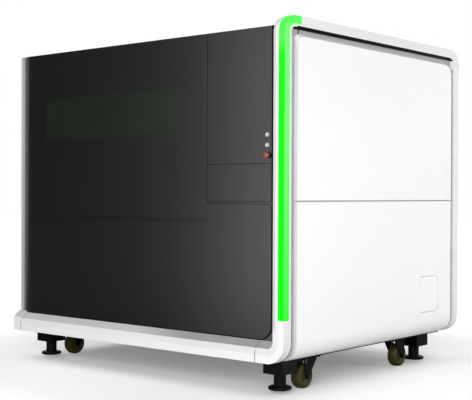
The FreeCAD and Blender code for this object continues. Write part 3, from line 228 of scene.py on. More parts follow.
def panel_coat():
    """White paint of the side panels, greyed by position: painted shade at the front end, where the
    panel turns into the channel, and a dark line along the joint.
    """
    material = powder_coat("panel_coat", (0.86, 0.86, 0.862), 0.42, peel=0.06, variation=0.008,
                           specular=0.3)
    f = Finish.reopen(material)
    place = f.axes(f.place())
    # Painted shade: grey towards the panel's front end
    grey = f.spread(place["Y"], 1.0, 0.0, *PANEL_FRONT_Y)
    joint = (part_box("side_panel_lower")[1].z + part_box("side_panel_upper")[0].z) / 2.0
    off = f.sum("SUBTRACT", place["Z"], joint)
    off = f.add("Math", {0: off}, operation="ABSOLUTE").outputs[0]
    grey = f.sum("MAXIMUM", grey, f.spread(off, 1.0, 0.0, *PANEL_JOINT_OFF))
    grey = f.sum("MULTIPLY", grey, f.spread(f.noise(14.0, 5.0, 0.6), 0.95, 1.0))
    return f.set(Base_Color=f.tint(grey, f.paint(), (0.27, 0.27, 0.272)))


def shell_coat():
    """White paint of the left shell, darkening by position on its front flange towards the door:
    painted shade, grey on the flange and near black next to the door.
    """
    material = powder_coat("shell_coat", WHITE, 0.42, peel=0.06, variation=0.008, specular=0.3)
    f = Finish.reopen(material)
    across = f.axes(f.place())["X"]
    # Painted shade: the front flange is grey, darkening to near black towards the door
    flange = f.between(f.spread(across, 0.0, 1.0, *SHELL_FLANGE_X), (0.62, 0.62, 0.624),
                       (0.090, 0.075, 0.076))
    return f.set(Base_Color=f.tint(f.spread(across, 0.0, 1.0, *SHELL_SIDE_X), f.paint(), flange))


def frame_coat():
    """Frame paint, greyed by position with painted shade on ledges near the floor and on the
    frame's inner return.
    """
    material = powder_coat("frame_coat", (0.76, 0.76, 0.763), 0.42, peel=0.04, variation=0.008,
                           specular=0.2)
    f = Finish.reopen(material)
    up = f.axes(f.add("NewGeometry").outputs["Normal"])["Z"]
    place = f.axes(f.place())
    # Painted shade on the up-facing ledges near the floor
    ledge = f.spread(up, 0.0, 1.0, 0.05, 0.80)
    ledge = f.sum("MULTIPLY", ledge, f.spread(place["X"], 0.46, 1.0, *LEDGE_X))
    ledge = f.sum("MULTIPLY", ledge, f.spread(place["Z"], 1.0, 0.0, *LEDGE_Z))
    ledge = f.sum("MULTIPLY", ledge, f.spread(f.noise(14.0, 5.0, 0.6), 0.92, 1.0))
    greyed = f.tint(ledge, f.paint(), (0.30, 0.30, 0.302))
    # Painted shade on the frame's inner return beside the black front
    inner = f.sum("MULTIPLY", f.spread(place["X"], 1.0, 0.0, *INNER_RETURN_X),
                  f.spread(place["Z"], 0.0, 1.0, *INNER_RETURN_Z))
    return f.set(Base_Color=f.tint(inner, greyed, (0.57, 0.57, 0.575)))


def grey_coat():
    return powder_coat("grey_coat", (0.35, 0.354, 0.358), 0.5, variation=0.03)


def black_coat():
    """Black paint, lighter by position towards the door's left edge, as a painted reflection."""
    material = powder_coat("black_coat", (0.0044, 0.0044, 0.0046), 0.24, peel=0.05, variation=0.10,
                           uneven=0.005)
    f = Finish.reopen(material)
    # Painted reflection: the black lightens towards the door's left edge
    edge = f.spread(f.axes(f.place())["X"], 1.0, 0.0, *DOOR_EDGE_X)
    edge = f.sum("MULTIPLY", edge, edge)
    return f.set(Base_Color=f.tint(edge, f.paint(), (0.040, 0.040, 0.041)))


def bed_paint():
    return powder_coat("bed_paint", (0.17, 0.19, 0.21), 0.55, peel=0.2, variation=0.08)


def black_iron():
    """Painted castings and pressings, scuffed and a little dusty."""
    f = Finish("black_iron")
    dust = f.spread(f.noise(38.0, 6.0, 0.7), 0.0, 1.0, 0.48, 0.80)
    color = f.between(dust, (0.0012, 0.0012, 0.0013), (0.0055, 0.0053, 0.0050))
    gloss = f.spread(f.noise(60.0, 4.0), 0.36, 0.60)
    normal = f.bump(f.noise(300.0, 4.0, 0.6), 0.25, 0.0006, f.soft_edges(0.0012))
    return f.set(Base_Color=color, Roughness=gloss, Normal=normal, Specular_IOR_Level=0.07)


def galvanised():
    """Zinc spangle: flat crystals of slightly different grey and gloss."""
    f = Finish("galvanised", Metallic=1.0)
    cells = f.add("TexVoronoi", {"Vector": f.place(), "Scale": 90.0}).outputs["Color"]
    tone = f.add("SeparateColor", {"Color": cells}).outputs[0]
    color = f.between(tone, (0.42, 0.43, 0.44), (0.60, 0.61, 0.62))
    stain = f.spread(f.noise(7.0, 5.0), -0.05, 0.05)
    gloss = f.sum("ADD", f.spread(tone, 0.32, 0.48, 0.0, 1.0), stain)
    normal = f.bump(f.noise(160.0, 3.0), 0.06, 0.0005, f.soft_edges(0.0008))
    return f.set(Base_Color=color, Roughness=gloss, Normal=normal)


def ground_steel():
    """Ground faces, with the fine lines of the wheel along Y."""
    f = Finish("ground_steel", Metallic=1.0)
    lines = f.noise(900.0, 3.0, 0.6, stretch=(1.0, 0.02, 1.0))
    color = f.between(f.spread(lines, 0.0, 1.0), (0.46, 0.46, 0.47), (0.62, 0.62, 0.63))
    gloss = f.spread(lines, 0.18, 0.34)
    normal = f.bump(lines, 0.12, 0.0003, f.soft_edges(0.0006))
    return f.set(Base_Color=color, Roughness=gloss, Normal=normal)


def mild_steel():
    """Hot rolled strip, blued and scorched by cutting."""
    f = Finish("mild_steel", Metallic=0.85)
    scorch = f.spread(f.noise(26.0, 5.0, 0.65), 0.0, 1.0, 0.42, 0.68)
    scale = f.between(f.spread(f.noise(9.0, 4.0), 0.0, 1.0), (0.13, 0.13, 0.14), (0.25, 0.24, 0.23))
    color = f.tint(scorch, scale, (0.16, 0.10, 0.07))
    gloss = f.spread(f.noise(70.0, 4.0), 0.38, 0.62)
    normal = f.bump(f.noise(210.0, 5.0, 0.7), 0.35, 0.0008, f.soft_edges(0.0008))
    return f.set(Base_Color=color, Roughness=gloss, Normal=normal)


def anodised():
    """Bead-blasted and anodised aluminium."""
    f = Finish("anodised", Metallic=0.9)
    cloud = f.spread(f.noise(5.0, 4.0), 0.0, 1.0)
    color = f.between(cloud, (0.56, 0.57, 0.59), (0.66, 0.67, 0.69))
    gloss = f.spread(f.noise(40.0, 3.0), 0.36, 0.46)
    normal = f.bump(f.noise(1300.0, 1.0), 0.12, 0.0002, f.soft_edges(0.001))
    return f.set(Base_Color=color, Roughness=gloss, Normal=normal)


def laser_glass():
    """Dark green filter pane that lets next to no light through."""
    f = Finish("laser_glass", Transmission_Weight=0.04, IOR=1.49)
    cloud = f.spread(f.noise(2.0, 2.0), 0.0, 1.0)
    color = f.between(cloud, (0.0042, 0.0088, 0.0038), (0.0048, 0.0100, 0.0044))
    gloss = f.spread(f.noise(9.0, 2.0), 0.235, 0.255)
    return f.set(Base_Color=color, Roughness=gloss)


def light_diffuser():
    """Frosted diffuser lit from inside, deeper green on its front facet than on its side. This
    difference by facet and by height is painted light: the glow is paler on the side facet and
    towards the top.
    """
    f = Finish("light_diffuser", Roughness=0.5, Specular_IOR_Level=0.05, Emission_Strength=1.0)
    # Painted light: paler glow on the side facet and higher up, deeper green on the front facet low
    # down
    side = f.spread(f.axes(f.add("NewGeometry").outputs["Normal"])["X"], 0.0, 1.0, 0.2, 0.9)
    height = f.axes(f.place())["Z"]
    flank = f.between(f.spread(height, 0.0, 1.0, *STRIP_FLANK_Z), (0.040, 0.92, 0.040),
                      (0.19, 0.94, 0.19))
    flank = f.tint(f.spread(height, 0.0, 1.0, *STRIP_BEND_Z), flank, (0.115, 0.93, 0.115))
    front = f.between(f.spread(height, 0.0, 1.0, *STRIP_FRONT_Z), (0.007, 0.90, 0.007),
                      (0.095, 0.92, 0.095))
    mottle = f.between(f.spread(f.noise(14.0, 2.0), 0.0, 1.0), (0.001, 0.16, 0.001),
                       (0.002, 0.20, 0.002))
    return f.set(Base_Color=mottle, Emission_Color=f.tint(side, front, flank))


def button_metal():
    """Turned and satin-polished steel."""
    f = Finish("button_metal", Metallic=1.0)
    lines = f.noise(1500.0, 2.0, 0.6, stretch=(0.3, 1.0, 1.0))
    color = f.between(f.spread(lines, 0.0, 1.0), (0.34, 0.36, 0.38), (0.50, 0.52, 0.54))
    gloss = f.spread(lines, 0.24, 0.36)
    normal = f.bump(lines, 0.08, 0.0001, f.soft_edges(0.0004))
    return f.set(Base_Color=color, Roughness=gloss, Normal=normal)


def moulded(name, color, roughness, specular=0.5):
    """Moulded plastic with a fine spark-eroded grain."""
    f = Finish(name)
    out = f.between(f.spread(f.noise(35.0, 3.0), 0.0, 1.0), shade(color, 0.92), shade(color, 1.08))
    gloss = f.sum("ADD", f.spread(f.noise(50.0, 3.0), -0.04, 0.04), roughness)
    normal = f.bump(f.noise(1600.0, 2.0), 0.15, 0.00015, f.soft_edges(0.0006))
    return f.set(Base_Color=out, Roughness=gloss, Normal=normal, Specular_IOR_Level=specular)


def red_plastic():
    return moulded("red_plastic", (0.27, 0.034, 0.022), 0.36)


def black_plastic():
    return moulded("black_plastic", (0.018, 0.018, 0.019), 0.48)


def rubber():
    return moulded("rubber_black", (0.0030, 0.0030, 0.0030), 0.62, specular=0.04)


def tread():
    """Cast polyurethane tread, scuffed, with dust from the floor."""
    f = Finish("tread")
    scuff = f.spread(f.noise(90.0, 5.0, 0.7), 0.0, 1.0, 0.45, 0.75)
    cloud = f.spread(f.noise(12.0, 3.0), 0.0, 1.0)
    tone = f.between(cloud, (0.026, 0.0225, 0.0022), (0.037, 0.032, 0.0042))
    color = f.tint(scuff, tone, (0.050, 0.046, 0.012))
    gloss = f.spread(f.noise(50.0, 3.0), 0.36, 0.60)
    normal = f.bump(f.noise(260.0, 4.0, 0.6), 0.2, 0.0006, f.soft_edges(0.001))
    return f.set(Base_Color=color, Roughness=gloss, Normal=normal, Specular_IOR_Level=0.2)


def copper():
    """Turned copper, tarnished in patches."""
    f = Finish("copper", Metallic=1.0)
    tarnish = f.spread(f.noise(180.0, 4.0), 0.0, 1.0, 0.4, 0.8)
    color = f.between(tarnish, (0.78, 0.40, 0.24), (0.46, 0.22, 0.13))
    gloss = f.spread(f.noise(400.0, 2.0), 0.18, 0.32)
    normal = f.bump(tarnish, 0.05, 0.0002, f.soft_edges(0.0004))
    return f.set(Base_Color=color, Roughness=gloss, Normal=normal)


def zinc_screw():
    """Bright zinc-plated fasteners."""
    f = Finish("zinc_screw", Metallic=1.0)
    stain = f.spread(f.noise(130.0, 4.0), 0.0, 1.0)
    color = f.between(stain, (0.52, 0.53, 0.55), (0.68, 0.68, 0.69))
    gloss = f.spread(f.noise(240.0, 3.0), 0.22, 0.40)
    normal = f.bump(stain, 0.05, 0.0002, f.soft_edges(0.0003))
    return f.set(Base_Color=color, Roughness=gloss, Normal=normal)


FINISHES = {make.__name__: make() for make in (
    white_coat, frame_coat, panel_coat, shell_coat, grey_coat, black_coat, galvanised, bed_paint,
    anodised, ground_steel, mild_steel, laser_glass, light_diffuser, button_metal, red_plastic,
    black_plastic, black_iron, tread, copper, rubber, zinc_screw)}
FINISHES["grey_sealant"] = moulded("grey_sealant", (0.13, 0.13, 0.132), 0.55)
# Dark grey plastic of the e-stop collar, also on the corner cover, where its grey is painted shade
FINISHES["collar_plastic_and_corner_shade"] = moulded("collar_plastic_and_corner_shade", (0.065, 0.065, 0.067), 0.55, specular=0.2)
FINISHES["edge_grey"] = moulded("edge_grey", (0.40, 0.40, 0.403), 0.6, specular=0.2)
FINISHES["pale_sealant"] = moulded("pale_sealant", (0.74, 0.74, 0.742), 0.6, specular=0.2)

# Nodes with a finish of their own, in place of the finish of their record's slot
OWN_FINISH = {"left_shell": "shell_coat", "side_panel_upper": "panel_coat",
              "side_panel_lower": "panel_coat", "estop_collar": "collar_plastic_and_corner_shade"}


def finish_nodes():
    """Gives every CAD node the finish of its slot."""
    for name, node in nodes.items():
        slots = node.data.materials
        finish = FINISHES[OWN_FINISH.get(name, slot_of_node[name])]
        if len(slots) == 0:
            slots.append(finish)
        for i in range(len(slots)):
            slots[i] = finish


# Mesh helpers
def facing(axis, place):
    """Matrix that turns local +Z onto an axis and moves the origin to a place."""
    return Matrix.Translation(place) @ axis.to_track_quat("Z", "Y").to_matrix().to_4x4()


def six_sided(angle):
    """How far a hexagon of unit inner radius reaches at an angle."""
    return 1.0 / math.cos((angle + math.pi / 6.0) % (math.pi / 3.0) - math.pi / 6.0)


def turn(mesh, profile, matrix, segments=ROUND_SEGMENTS):
    """Lathes (radius, height) points about Z. A third entry of True makes that ring six-sided."""
    rings = []
    for radius, height, *sided in profile:
        if radius == 0:
            rings.append([mesh.verts.new(matrix @ Vector((0, 0, height)))])
            continue
        ring = []
        for i in range(segments):
            angle = 2.0 * math.pi * i / segments
            reach = radius * (six_sided(angle) if sided else 1.0)
            point = Vector((reach * math.cos(angle), reach * math.sin(angle), height))
            ring.append(mesh.verts.new(matrix @ point))
        rings.append(ring)
    for low, high in zip(rings, rings[1:]):
        for i in range(segments):
            j = (i + 1) % segments
            corners = [low[i % len(low)], low[j % len(low)],
                       high[j % len(high)], high[i % len(high)]]
            mesh.faces.new(list(dict.fromkeys(corners)))


def block(mesh, low, high, bevel=0.0, segments=2):
    """Box between two corners, with rounded edges."""
    low = Vector(low)
    high = Vector(high)
    made = bmesh.ops.create_cube(mesh, size=1.0)["verts"]
    size = high - low
    middle = (low + high) / 2.0
    for vertex in made:
        vertex.co = vertex.co * size + middle
    if bevel > 0:
        edges = {edge for vertex in made for edge in vertex.link_edges}
        bmesh.ops.bevel(mesh, geom=list(edges), offset=bevel, segments=segments, profile=0.5,
                        affect="EDGES")


def strip(mesh, outer, inner, place):
    """Solid strip between two lines of points. place(point, side) gives a vertex, side 0 or 1."""
    rows = [[mesh.verts.new(place(point, side)) for point in line]
            for side in (0, 1) for line in (outer, inner)]
    for low, high in ((0, 1), (1, 3), (3, 2), (2, 0)):
        for i in range(len(outer) - 1):
            mesh.faces.new((rows[low][i], rows[low][i + 1], rows[high][i + 1], rows[high][i]))
    for end in (0, -1):
        mesh.faces.new([rows[row][end] for row in (0, 1, 3, 2)])


def add_piece(name, mesh, slot, body):
    """Turns a bmesh into a named piece that rides on a body."""
    bmesh.ops.recalc_face_normals(mesh, faces=mesh.faces)
    data = bpy.data.meshes.new(name)
    mesh.to_mesh(data)
    mesh.free()
    data.materials.append(FINISHES[slot])
    data.shade_smooth()
    data.set_sharp_from_angle(angle=SMOOTH_ANGLE)
    piece = bpy.data.objects.new(name, data)
    bpy.context.scene.collection.objects.link(piece)
    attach(piece, body)
    return piece


def socket_screw(mesh, place, axis, radius):
    """Button-head screw with a hexagon socket."""
    r = radius
    profile = [(0, -r * 0.1), (r, -r * 0.1), (r, r * 0.12), (r * 0.86, r * 0.36),
               (r * 0.62, r * 0.5), (r * 0.36, r * 0.54), (r * 0.33, r * 0.52, True),
               (r * 0.33, r * 0.16, True), (0, r * 0.12)]
    turn(mesh, profile, facing(axis, place))


def hex_bolt(mesh, place, axis, radius):
    """Hexagon head with its chamfer, on a washer."""
    r = radius
    profile = [(0, 0), (r * 1.35, 0), (r * 1.35, r * 0.2), (r * 0.98, r * 0.2),
               (r * 0.98, r * 0.22, True), (r * 0.98, r * 0.76, True), (r * 0.93, r * 0.84),
               (0, r * 0.84)]
    turn(mesh, profile, facing(axis, place))


def spaced(low, high, inset, count):
    """Even places between two ends, an inset in from each."""
    return [low + inset + (high - low - 2 * inset) * i / (count - 1) for i in range(count)]


def middle_of(node):
    low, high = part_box(node)
    return (low + high) / 2.0


# Edge trims and seals
def front_edge_trims():
    """Black rubber edging on the foot and the right edge of the black front, also standing in as
    painted shadow for the shadow line of the gap there; one length is a grey cover on the lower
    right corner, its grey painted shade.
    """
    left_room = 0.060
    x_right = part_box("control_panel")[1].x
    x_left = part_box("lower_panel")[0].x + left_room
    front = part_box("control_panel")[0].y
    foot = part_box("lower_panel")[0].z
    radius = 0.080
    side_width = 0.014
    foot_width = 0.0050
    proud = 0.0012
    steps = 16

    def place(point, side):
        return Vector((point[0], front - proud * side, point[1]))

    # Painted shadow: the black edging also stands for the dark shadow line of the gap under and
    # beside the panel
    outer = [(x_left, foot)]
    inner = [(x_left, foot + foot_width)]
    centre = Vector((x_right - radius, foot + radius))
    for i in range(steps + 1):
        angle = math.pi / 2.0 * i / steps
        width = foot_width + (side_width - foot_width) * i / steps
        across = Vector((math.sin(angle), -math.cos(angle)))
        outer.append(centre + across * radius)
        inner.append(centre + across * (radius - width))
    outer.append((x_right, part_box("lower_panel")[1].z))
    inner.append((x_right - side_width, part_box("lower_panel")[1].z))
    mesh = bmesh.new()
    strip(mesh, outer, inner, place)
    add_piece("lower_edge_trim", mesh, "rubber", "machine")
    # Painted shade: a thin grey cover rounds off the black front's lower right corner, its grey
    # standing in for the shaded ledge there
    arc = outer[1:steps + 2]
    mesh = bmesh.new()
    strip(mesh, arc, [(x_right, foot)] * len(arc), place)
    bmesh.ops.remove_doubles(mesh, verts=mesh.verts, dist=0.00001)
    add_piece("corner_shade_cover", mesh, "collar_plastic_and_corner_shade", "machine")
    for node, body in (("drawer_front", "drawer"), ("control_panel", "machine")):
        low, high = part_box(node)
        mesh = bmesh.new()
        strip(mesh, [(x_right, low.z), (x_right, high.z)],
              [(x_right - side_width, low.z), (x_right - side_width, high.z)], place)
        add_piece(node + "_edge_trim", mesh, "rubber", body)


def band_shadow_strip():
    """Black strip in the channel under the frame's top rail, with a lip on its face: painted
    shadow, standing in for the shadow gap under the rail.
    """
    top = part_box("frame_top_rail")[0].z
    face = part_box("frame_top_rail")[1].x
    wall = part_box("side_panel_upper")[0].x
    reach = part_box("side_panel_upper")[1].y + 0.012
    depth = 0.0165
    height = 0.0085
    clear = 0.0002
    lip_reach = reach - 0.035
    lip_sunk = 0.004
    lip_proud = 0.0004
    lip_down = 0.0020
    lip_up = 0.0055
    mesh = bmesh.new()
    # Painted shadow: a black strip where the gap under the top rail lies in shade
    block(mesh, (wall, -reach, top - height), (wall + depth, reach, top - clear), 0.0012, 2)
    block(mesh, (face - lip_sunk, -lip_reach, top - lip_down),
          (face + lip_proud, lip_reach, top + lip_up), 0.0006, 1)
    add_piece("band_shadow_strip", mesh, "rubber", "machine")


def door_side_trims():
    """Rubber edging beside the door, one length on the drawer and one on the control panel."""
    width = 0.0028
    proud = 0.0008
    for node, body in (("drawer_front", "drawer"), ("control_panel", "machine")):
        low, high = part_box(node)
        mesh = bmesh.new()
        block(mesh, (low.x, low.y - proud, low.z), (low.x + width, low.y + proud, high.z),
              0.0002, 1)
        add_piece(node + "_side_trim", mesh, "rubber", body)


def channel_shadow_line():
    """Dark line across the channel's wall, near its front top corner: painted shadow, standing in
    for the contact shadow at that corner.
    """
    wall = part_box("side_panel_upper")[0].x
    front = -0.705
    width = 0.0055
    proud = 0.0020
    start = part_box("side_panel_upper")[1].z - 0.030
    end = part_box("frame_top_rail")[0].z - 0.009
    mesh = bmesh.new()
    # Painted shadow: a dark strip for the contact shadow at the channel's top front corner
    block(mesh, (wall, front, start), (wall + proud, front + width, end), 0.0004, 1)
    add_piece("channel_shadow_line", mesh, "rubber", "machine")


def channel_seals():
    """Pale seals down the channel before and behind the side panels, and grey strips on the panels'
    ends that are painted shade.
    """
    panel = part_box("side_panel_upper")
    bend = 0.100
    centre = Vector((panel[1].x - bend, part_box("side_panel_lower")[0].z + bend))
    channel = panel[1].x - panel[0].x
    inner_clear = 0.0005
    end = panel[1].y
    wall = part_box("side_wall")[1].y
    seal_top = 1.690
    trim_top = panel[1].z - 0.034
    steps = 14

    def path(reach, top):
        points = [centre + Vector((reach, 0.0))]
        points[0].y = top
        for i in range(steps + 1):
            angle = math.pi / 2.0 * i / steps
            points.append(centre + Vector((math.cos(angle), -math.sin(angle))) * reach)
        return points

    # Finish, outer reach from the bend's centre, top, and the near and far Y of each
    pieces = {
        "channel_seals": ("pale_sealant", bend - 0.0015, seal_top, wall - 0.0055, wall - 0.0003),
        # Painted shade: grey strips over the side panels' end faces, where the channel is in shade
        "panel_end_shade_strips": ("edge_grey", bend - 0.0012, trim_top, end + 0.0002, end + 0.0012),
    }
    for name, (slot, reach, top, near, far) in pieces.items():
        mesh = bmesh.new()
        for sign in (-1.0, 1.0):
            def place(point, side):
                return Vector((point[0], sign * (near + (far - near) * side), point[1]))

            strip(mesh, path(reach, top), path(bend - channel + inner_clear, top), place)
        add_piece(name, mesh, slot, "machine")


def belly_edge():
    """Black edge of the belly plate under the side panel's bend, clear of the feet and casters."""
    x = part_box("side_panel_lower")[0].x
    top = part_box("side_panel_lower")[0].z
    behind, ahead = 0.020, 0.016
    drop, clear = 0.0040, 0.0002
    lengths = ((-0.392, 0.287), (0.637, 0.757))
    mesh = bmesh.new()
    for start, end in lengths:
        block(mesh, (x - behind, start, top - drop), (x + ahead, end, top - clear), 0.0008, 1)
    add_piece("belly_edge", mesh, "rubber", "machine")


def lip_sealant():
    """Sealant beads over the joints of the bottom lip, following its section."""
    bead = 0.0036
    proud = 0.0005
    sunk_y, sunk_z = 0.0015, 0.0010
    end_gap = 0.00075
    low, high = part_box("bottom_lips")
    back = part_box("lower_panel")[0].y
    depth = high.y
    facet = low.z + 0.0382
    bevel = low.z + 0.069
    bevel_y = 0.008
    section = [(depth, low.z + 0.001), (depth, facet), (depth - bevel_y, bevel),
               (abs(back), high.z)]
    inner = [(y - sunk_y, z - sunk_z) for y, z in section]
    outer = [(y + proud, z + proud * 0.8) for y, z in section]
    mesh = bmesh.new()
    for sign in (-1.0, 1.0):
        for x in (low.x - end_gap, high.x + end_gap):
            def place(point, side):
                return Vector((x + bead * (side - 0.5), sign * point[0], point[1]))

            strip(mesh, outer, inner, place)
    add_piece("lip_sealant", mesh, "grey_sealant", "machine")


# Pieces on the underside
def caster_bolts():
    """Four bolts through the slots of each caster plate."""
    plate = 0.006
    across = 0.041
    along = 0.0825
    head_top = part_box("caster_forks")[1].z - plate
    mesh = bmesh.new()
    for corner in CORNERS:
        centre = middle_of("caster_wheel_" + corner)
        for x in (centre.x - across, centre.x + across):
            for y in (centre.y - along, centre.y + along):
                hex_bolt(mesh, Vector((x, y, head_top)), DOWN, SUPPORT_BOLT)
    add_piece("caster_bolts", mesh, "black_iron", "machine")


def axle_nuts():
    """Nut and washer on both ends of each caster axle."""
    beside_wheel = 0.006
    mesh = bmesh.new()
    for corner in CORNERS:
        low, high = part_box("caster_wheel_" + corner)
        centre = (low + high) / 2.0
        for axis in (LEFT, RIGHT):
            place = centre + axis * ((high.x - low.x) / 2.0 + beside_wheel)
            hex_bolt(mesh, place, axis, SUPPORT_BOLT)
    add_piece("axle_nuts", mesh, "black_iron", "machine")


# Rear
def louvre_hoods():
    """Pressed hoods over the slots of the rear cover, open below."""
    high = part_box("rear_panel")[1]
    count = 8
    pitch = 0.024
    half_width = 0.220 / 2.0 + 0.006
    hood_height = 0.0125
    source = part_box("laser_source")
    first = (source[0].z + source[1].z) / 2.0 + 0.120
    middle = (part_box("partition")[1].x + high.x) / 2.0
    reach = 0.0075
    thickness = 0.0012
    across = 20
    around = 6
    mesh = bmesh.new()
    for row in range(count):
        top = first + pitch * row + hood_height
        layers = []
        for inset in (0.0, thickness):
            grid = []
            for i in range(across + 1):
                u = 2.0 * i / across - 1.0
                swell = max(0.0, 1.0 - abs(u) ** 5) ** 0.5
                x = middle + u * (half_width - inset)
                line = []
                for j in range(around + 1):
                    angle = math.pi / 2.0 * j / around
                    out = (reach - inset) * swell * math.sin(angle)
                    z = top - inset - (hood_height - inset) * (1.0 - math.cos(angle))
                    line.append(mesh.verts.new(Vector((x, high.y + out, z))))
                grid.append(line)
            layers.append(grid)
        front, back = layers
        for grid in layers:
            for i in range(across):
                for j in range(around):
                    corners = (grid[i][j], grid[i + 1][j], grid[i + 1][j + 1], grid[i][j + 1])
                    mesh.faces.new(corners)
        for j in (0, around):
            for i in range(across):
                mesh.faces.new((front[i][j], front[i + 1][j], back[i + 1][j], back[i][j]))
        for i in (0, across):
            for j in range(around):
                mesh.faces.new((front[i][j], front[i][j + 1], back[i][j + 1], back[i][j]))
    add_piece("louvre_hoods", mesh, "white_coat", "machine")


def rear_screws():
    """Screws round the edge of the rear cover."""
    low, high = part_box("rear_panel")
    inset = 0.012
    across = 7
    upright = 6
    mesh = bmesh.new()
    for x in spaced(low.x, high.x, inset, across):
        for z in (low.z + inset, high.z - inset):
            socket_screw(mesh, Vector((x, high.y, z)), BACK, COVER_SCREW)
    for z in spaced(low.z, high.z, inset, upright)[1:-1]:
        for x in (low.x + inset, high.x - inset):
            socket_screw(mesh, Vector((x, high.y, z)), BACK, COVER_SCREW)
    add_piece("rear_screws", mesh, "zinc_screw", "machine")


def roof_screws():
    """Screws along the rear edge of the roof."""
    low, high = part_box("roof_panel")
    inset = 0.018
    across = 7
    mesh = bmesh.new()
    for x in spaced(low.x, high.x, inset, across):
        socket_screw(mesh, Vector((x, high.y - inset, high.z)), UP, COVER_SCREW)
    add_piece("roof_screws", mesh, "zinc_screw", "machine")


# Chamber
def guide_screws():
    """Screws along the two flat guide rails."""
    low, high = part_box("guide_rails")
    rails_x = (-0.844, 0.389)
    top = 1.010
    pitch = 0.080
    end_room = 0.060
    radius = 0.0042
    count = int((high.y - low.y - end_room) / pitch) + 1
    mesh = bmesh.new()
    for x in rails_x:
        for i in range(count):
            y = (low.y + high.y) / 2.0 + (i - (count - 1) / 2.0) * pitch
            socket_screw(mesh, Vector((x, y, top)), UP, radius)
    add_piece("guide_screws", mesh, "zinc_screw", "machine")


def carriage_screws():
    """Screws down both sides of the carriage's front plate."""
    low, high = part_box("carriage")
    plate = low.y + 0.0204
    side_room = 0.014
    end_room = 0.012
    radius = 0.0045
    mesh = bmesh.new()
    for x in (low.x + side_room, high.x - side_room):
        for z in (low.z + end_room, (low.z + high.z) / 2.0, high.z - end_room):
            socket_screw(mesh, Vector((x, plate, z)), FRONT, radius)
    add_piece("carriage_screws", mesh, "zinc_screw", "carriage")


# Keyboard
def key_caps():
    """Rows of bevelled keys on the keyboard's steps, more to a row towards the back."""
    low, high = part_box("keyboard")
    counts = (10, 14, 15, 16, 17)
    side_room = 0.006
    end_room = 0.010
    front_height = 0.010
    sunk = 0.0006
    gap = 0.0024
    cap_height = 0.0045
    rise = (high.z - low.z - front_height) / len(counts)
    run = (high.y - low.y - 2 * end_room) / len(counts)
    mesh = bmesh.new()
    for row, count in enumerate(counts):
        y0 = low.y + end_room + run * row + gap
        z0 = low.z + front_height + rise * (row + 1) - sunk
        pitch = (high.x - low.x - 2 * side_room) / count
        for i in range(count):
            x0 = low.x + side_room + pitch * i
            block(mesh, (x0 + gap / 2, y0, z0),
                  (x0 + pitch - gap / 2, y0 + run - gap, z0 + cap_height), 0.0011, 1)
    add_piece("key_caps", mesh, "black_plastic", "drawer")


# Light, floor and camera
class Backdrop:
    """Short calls for the nodes of the floor and the world."""

    def __init__(self, tree):
        self.tree = tree
        tree.nodes.clear()

    def add(self, kind, *inputs, **properties):
        """A shader node with its first sockets fed in order."""
        node = self.tree.nodes.new("ShaderNode" + kind)
        for name, value in properties.items():
            setattr(node, name, value)
        for socket, value in zip(node.inputs, inputs):
            if isinstance(value, bpy.types.NodeSocket):
                self.tree.links.new(value, socket)
            else:
                socket.default_value = value
        return node.outputs[0] if len(node.outputs) > 0 else None

    def ramp(self, value, start, end, low, high):
        """Smooth change from low to high while the value goes from start to end."""
        node = self.tree.nodes.new("ShaderNodeMapRange")
        node.interpolation_type = "SMOOTHSTEP"
        self.tree.links.new(value, node.inputs["Value"])
        limits = {"From Min": start, "From Max": end, "To Min": low, "To Max": high}
        for socket, number in limits.items():
            node.inputs[socket].default_value = number
        return node.outputs[0]

    def flag(self, vector):
        """1 in the open and near 0 in a dark sector at the front left, by the angle of a vector."""
        parts = self.tree.nodes.new("ShaderNodeSeparateXYZ")
        self.tree.links.new(vector, parts.inputs[0])
        left = self.add("Math", parts.outputs["X"], -1.0, operation="MULTIPLY")
        ahead = self.add("Math", parts.outputs["Y"], -1.0, operation="MULTIPLY")
        angle = self.add("Math", left, ahead, operation="ARCTAN2")
        falling = self.ramp(angle, *FLAG_START, 1.0, FLAG_DARK)
        rising = self.ramp(angle, *FLAG_END, FLAG_DARK, 1.0)
        return self.add("Math", falling, rising, operation="MAXIMUM")

    def ray(self, kind):
        path = self.tree.nodes.new("ShaderNodeLightPath")
        return path.outputs["Is " + kind + " Ray"]


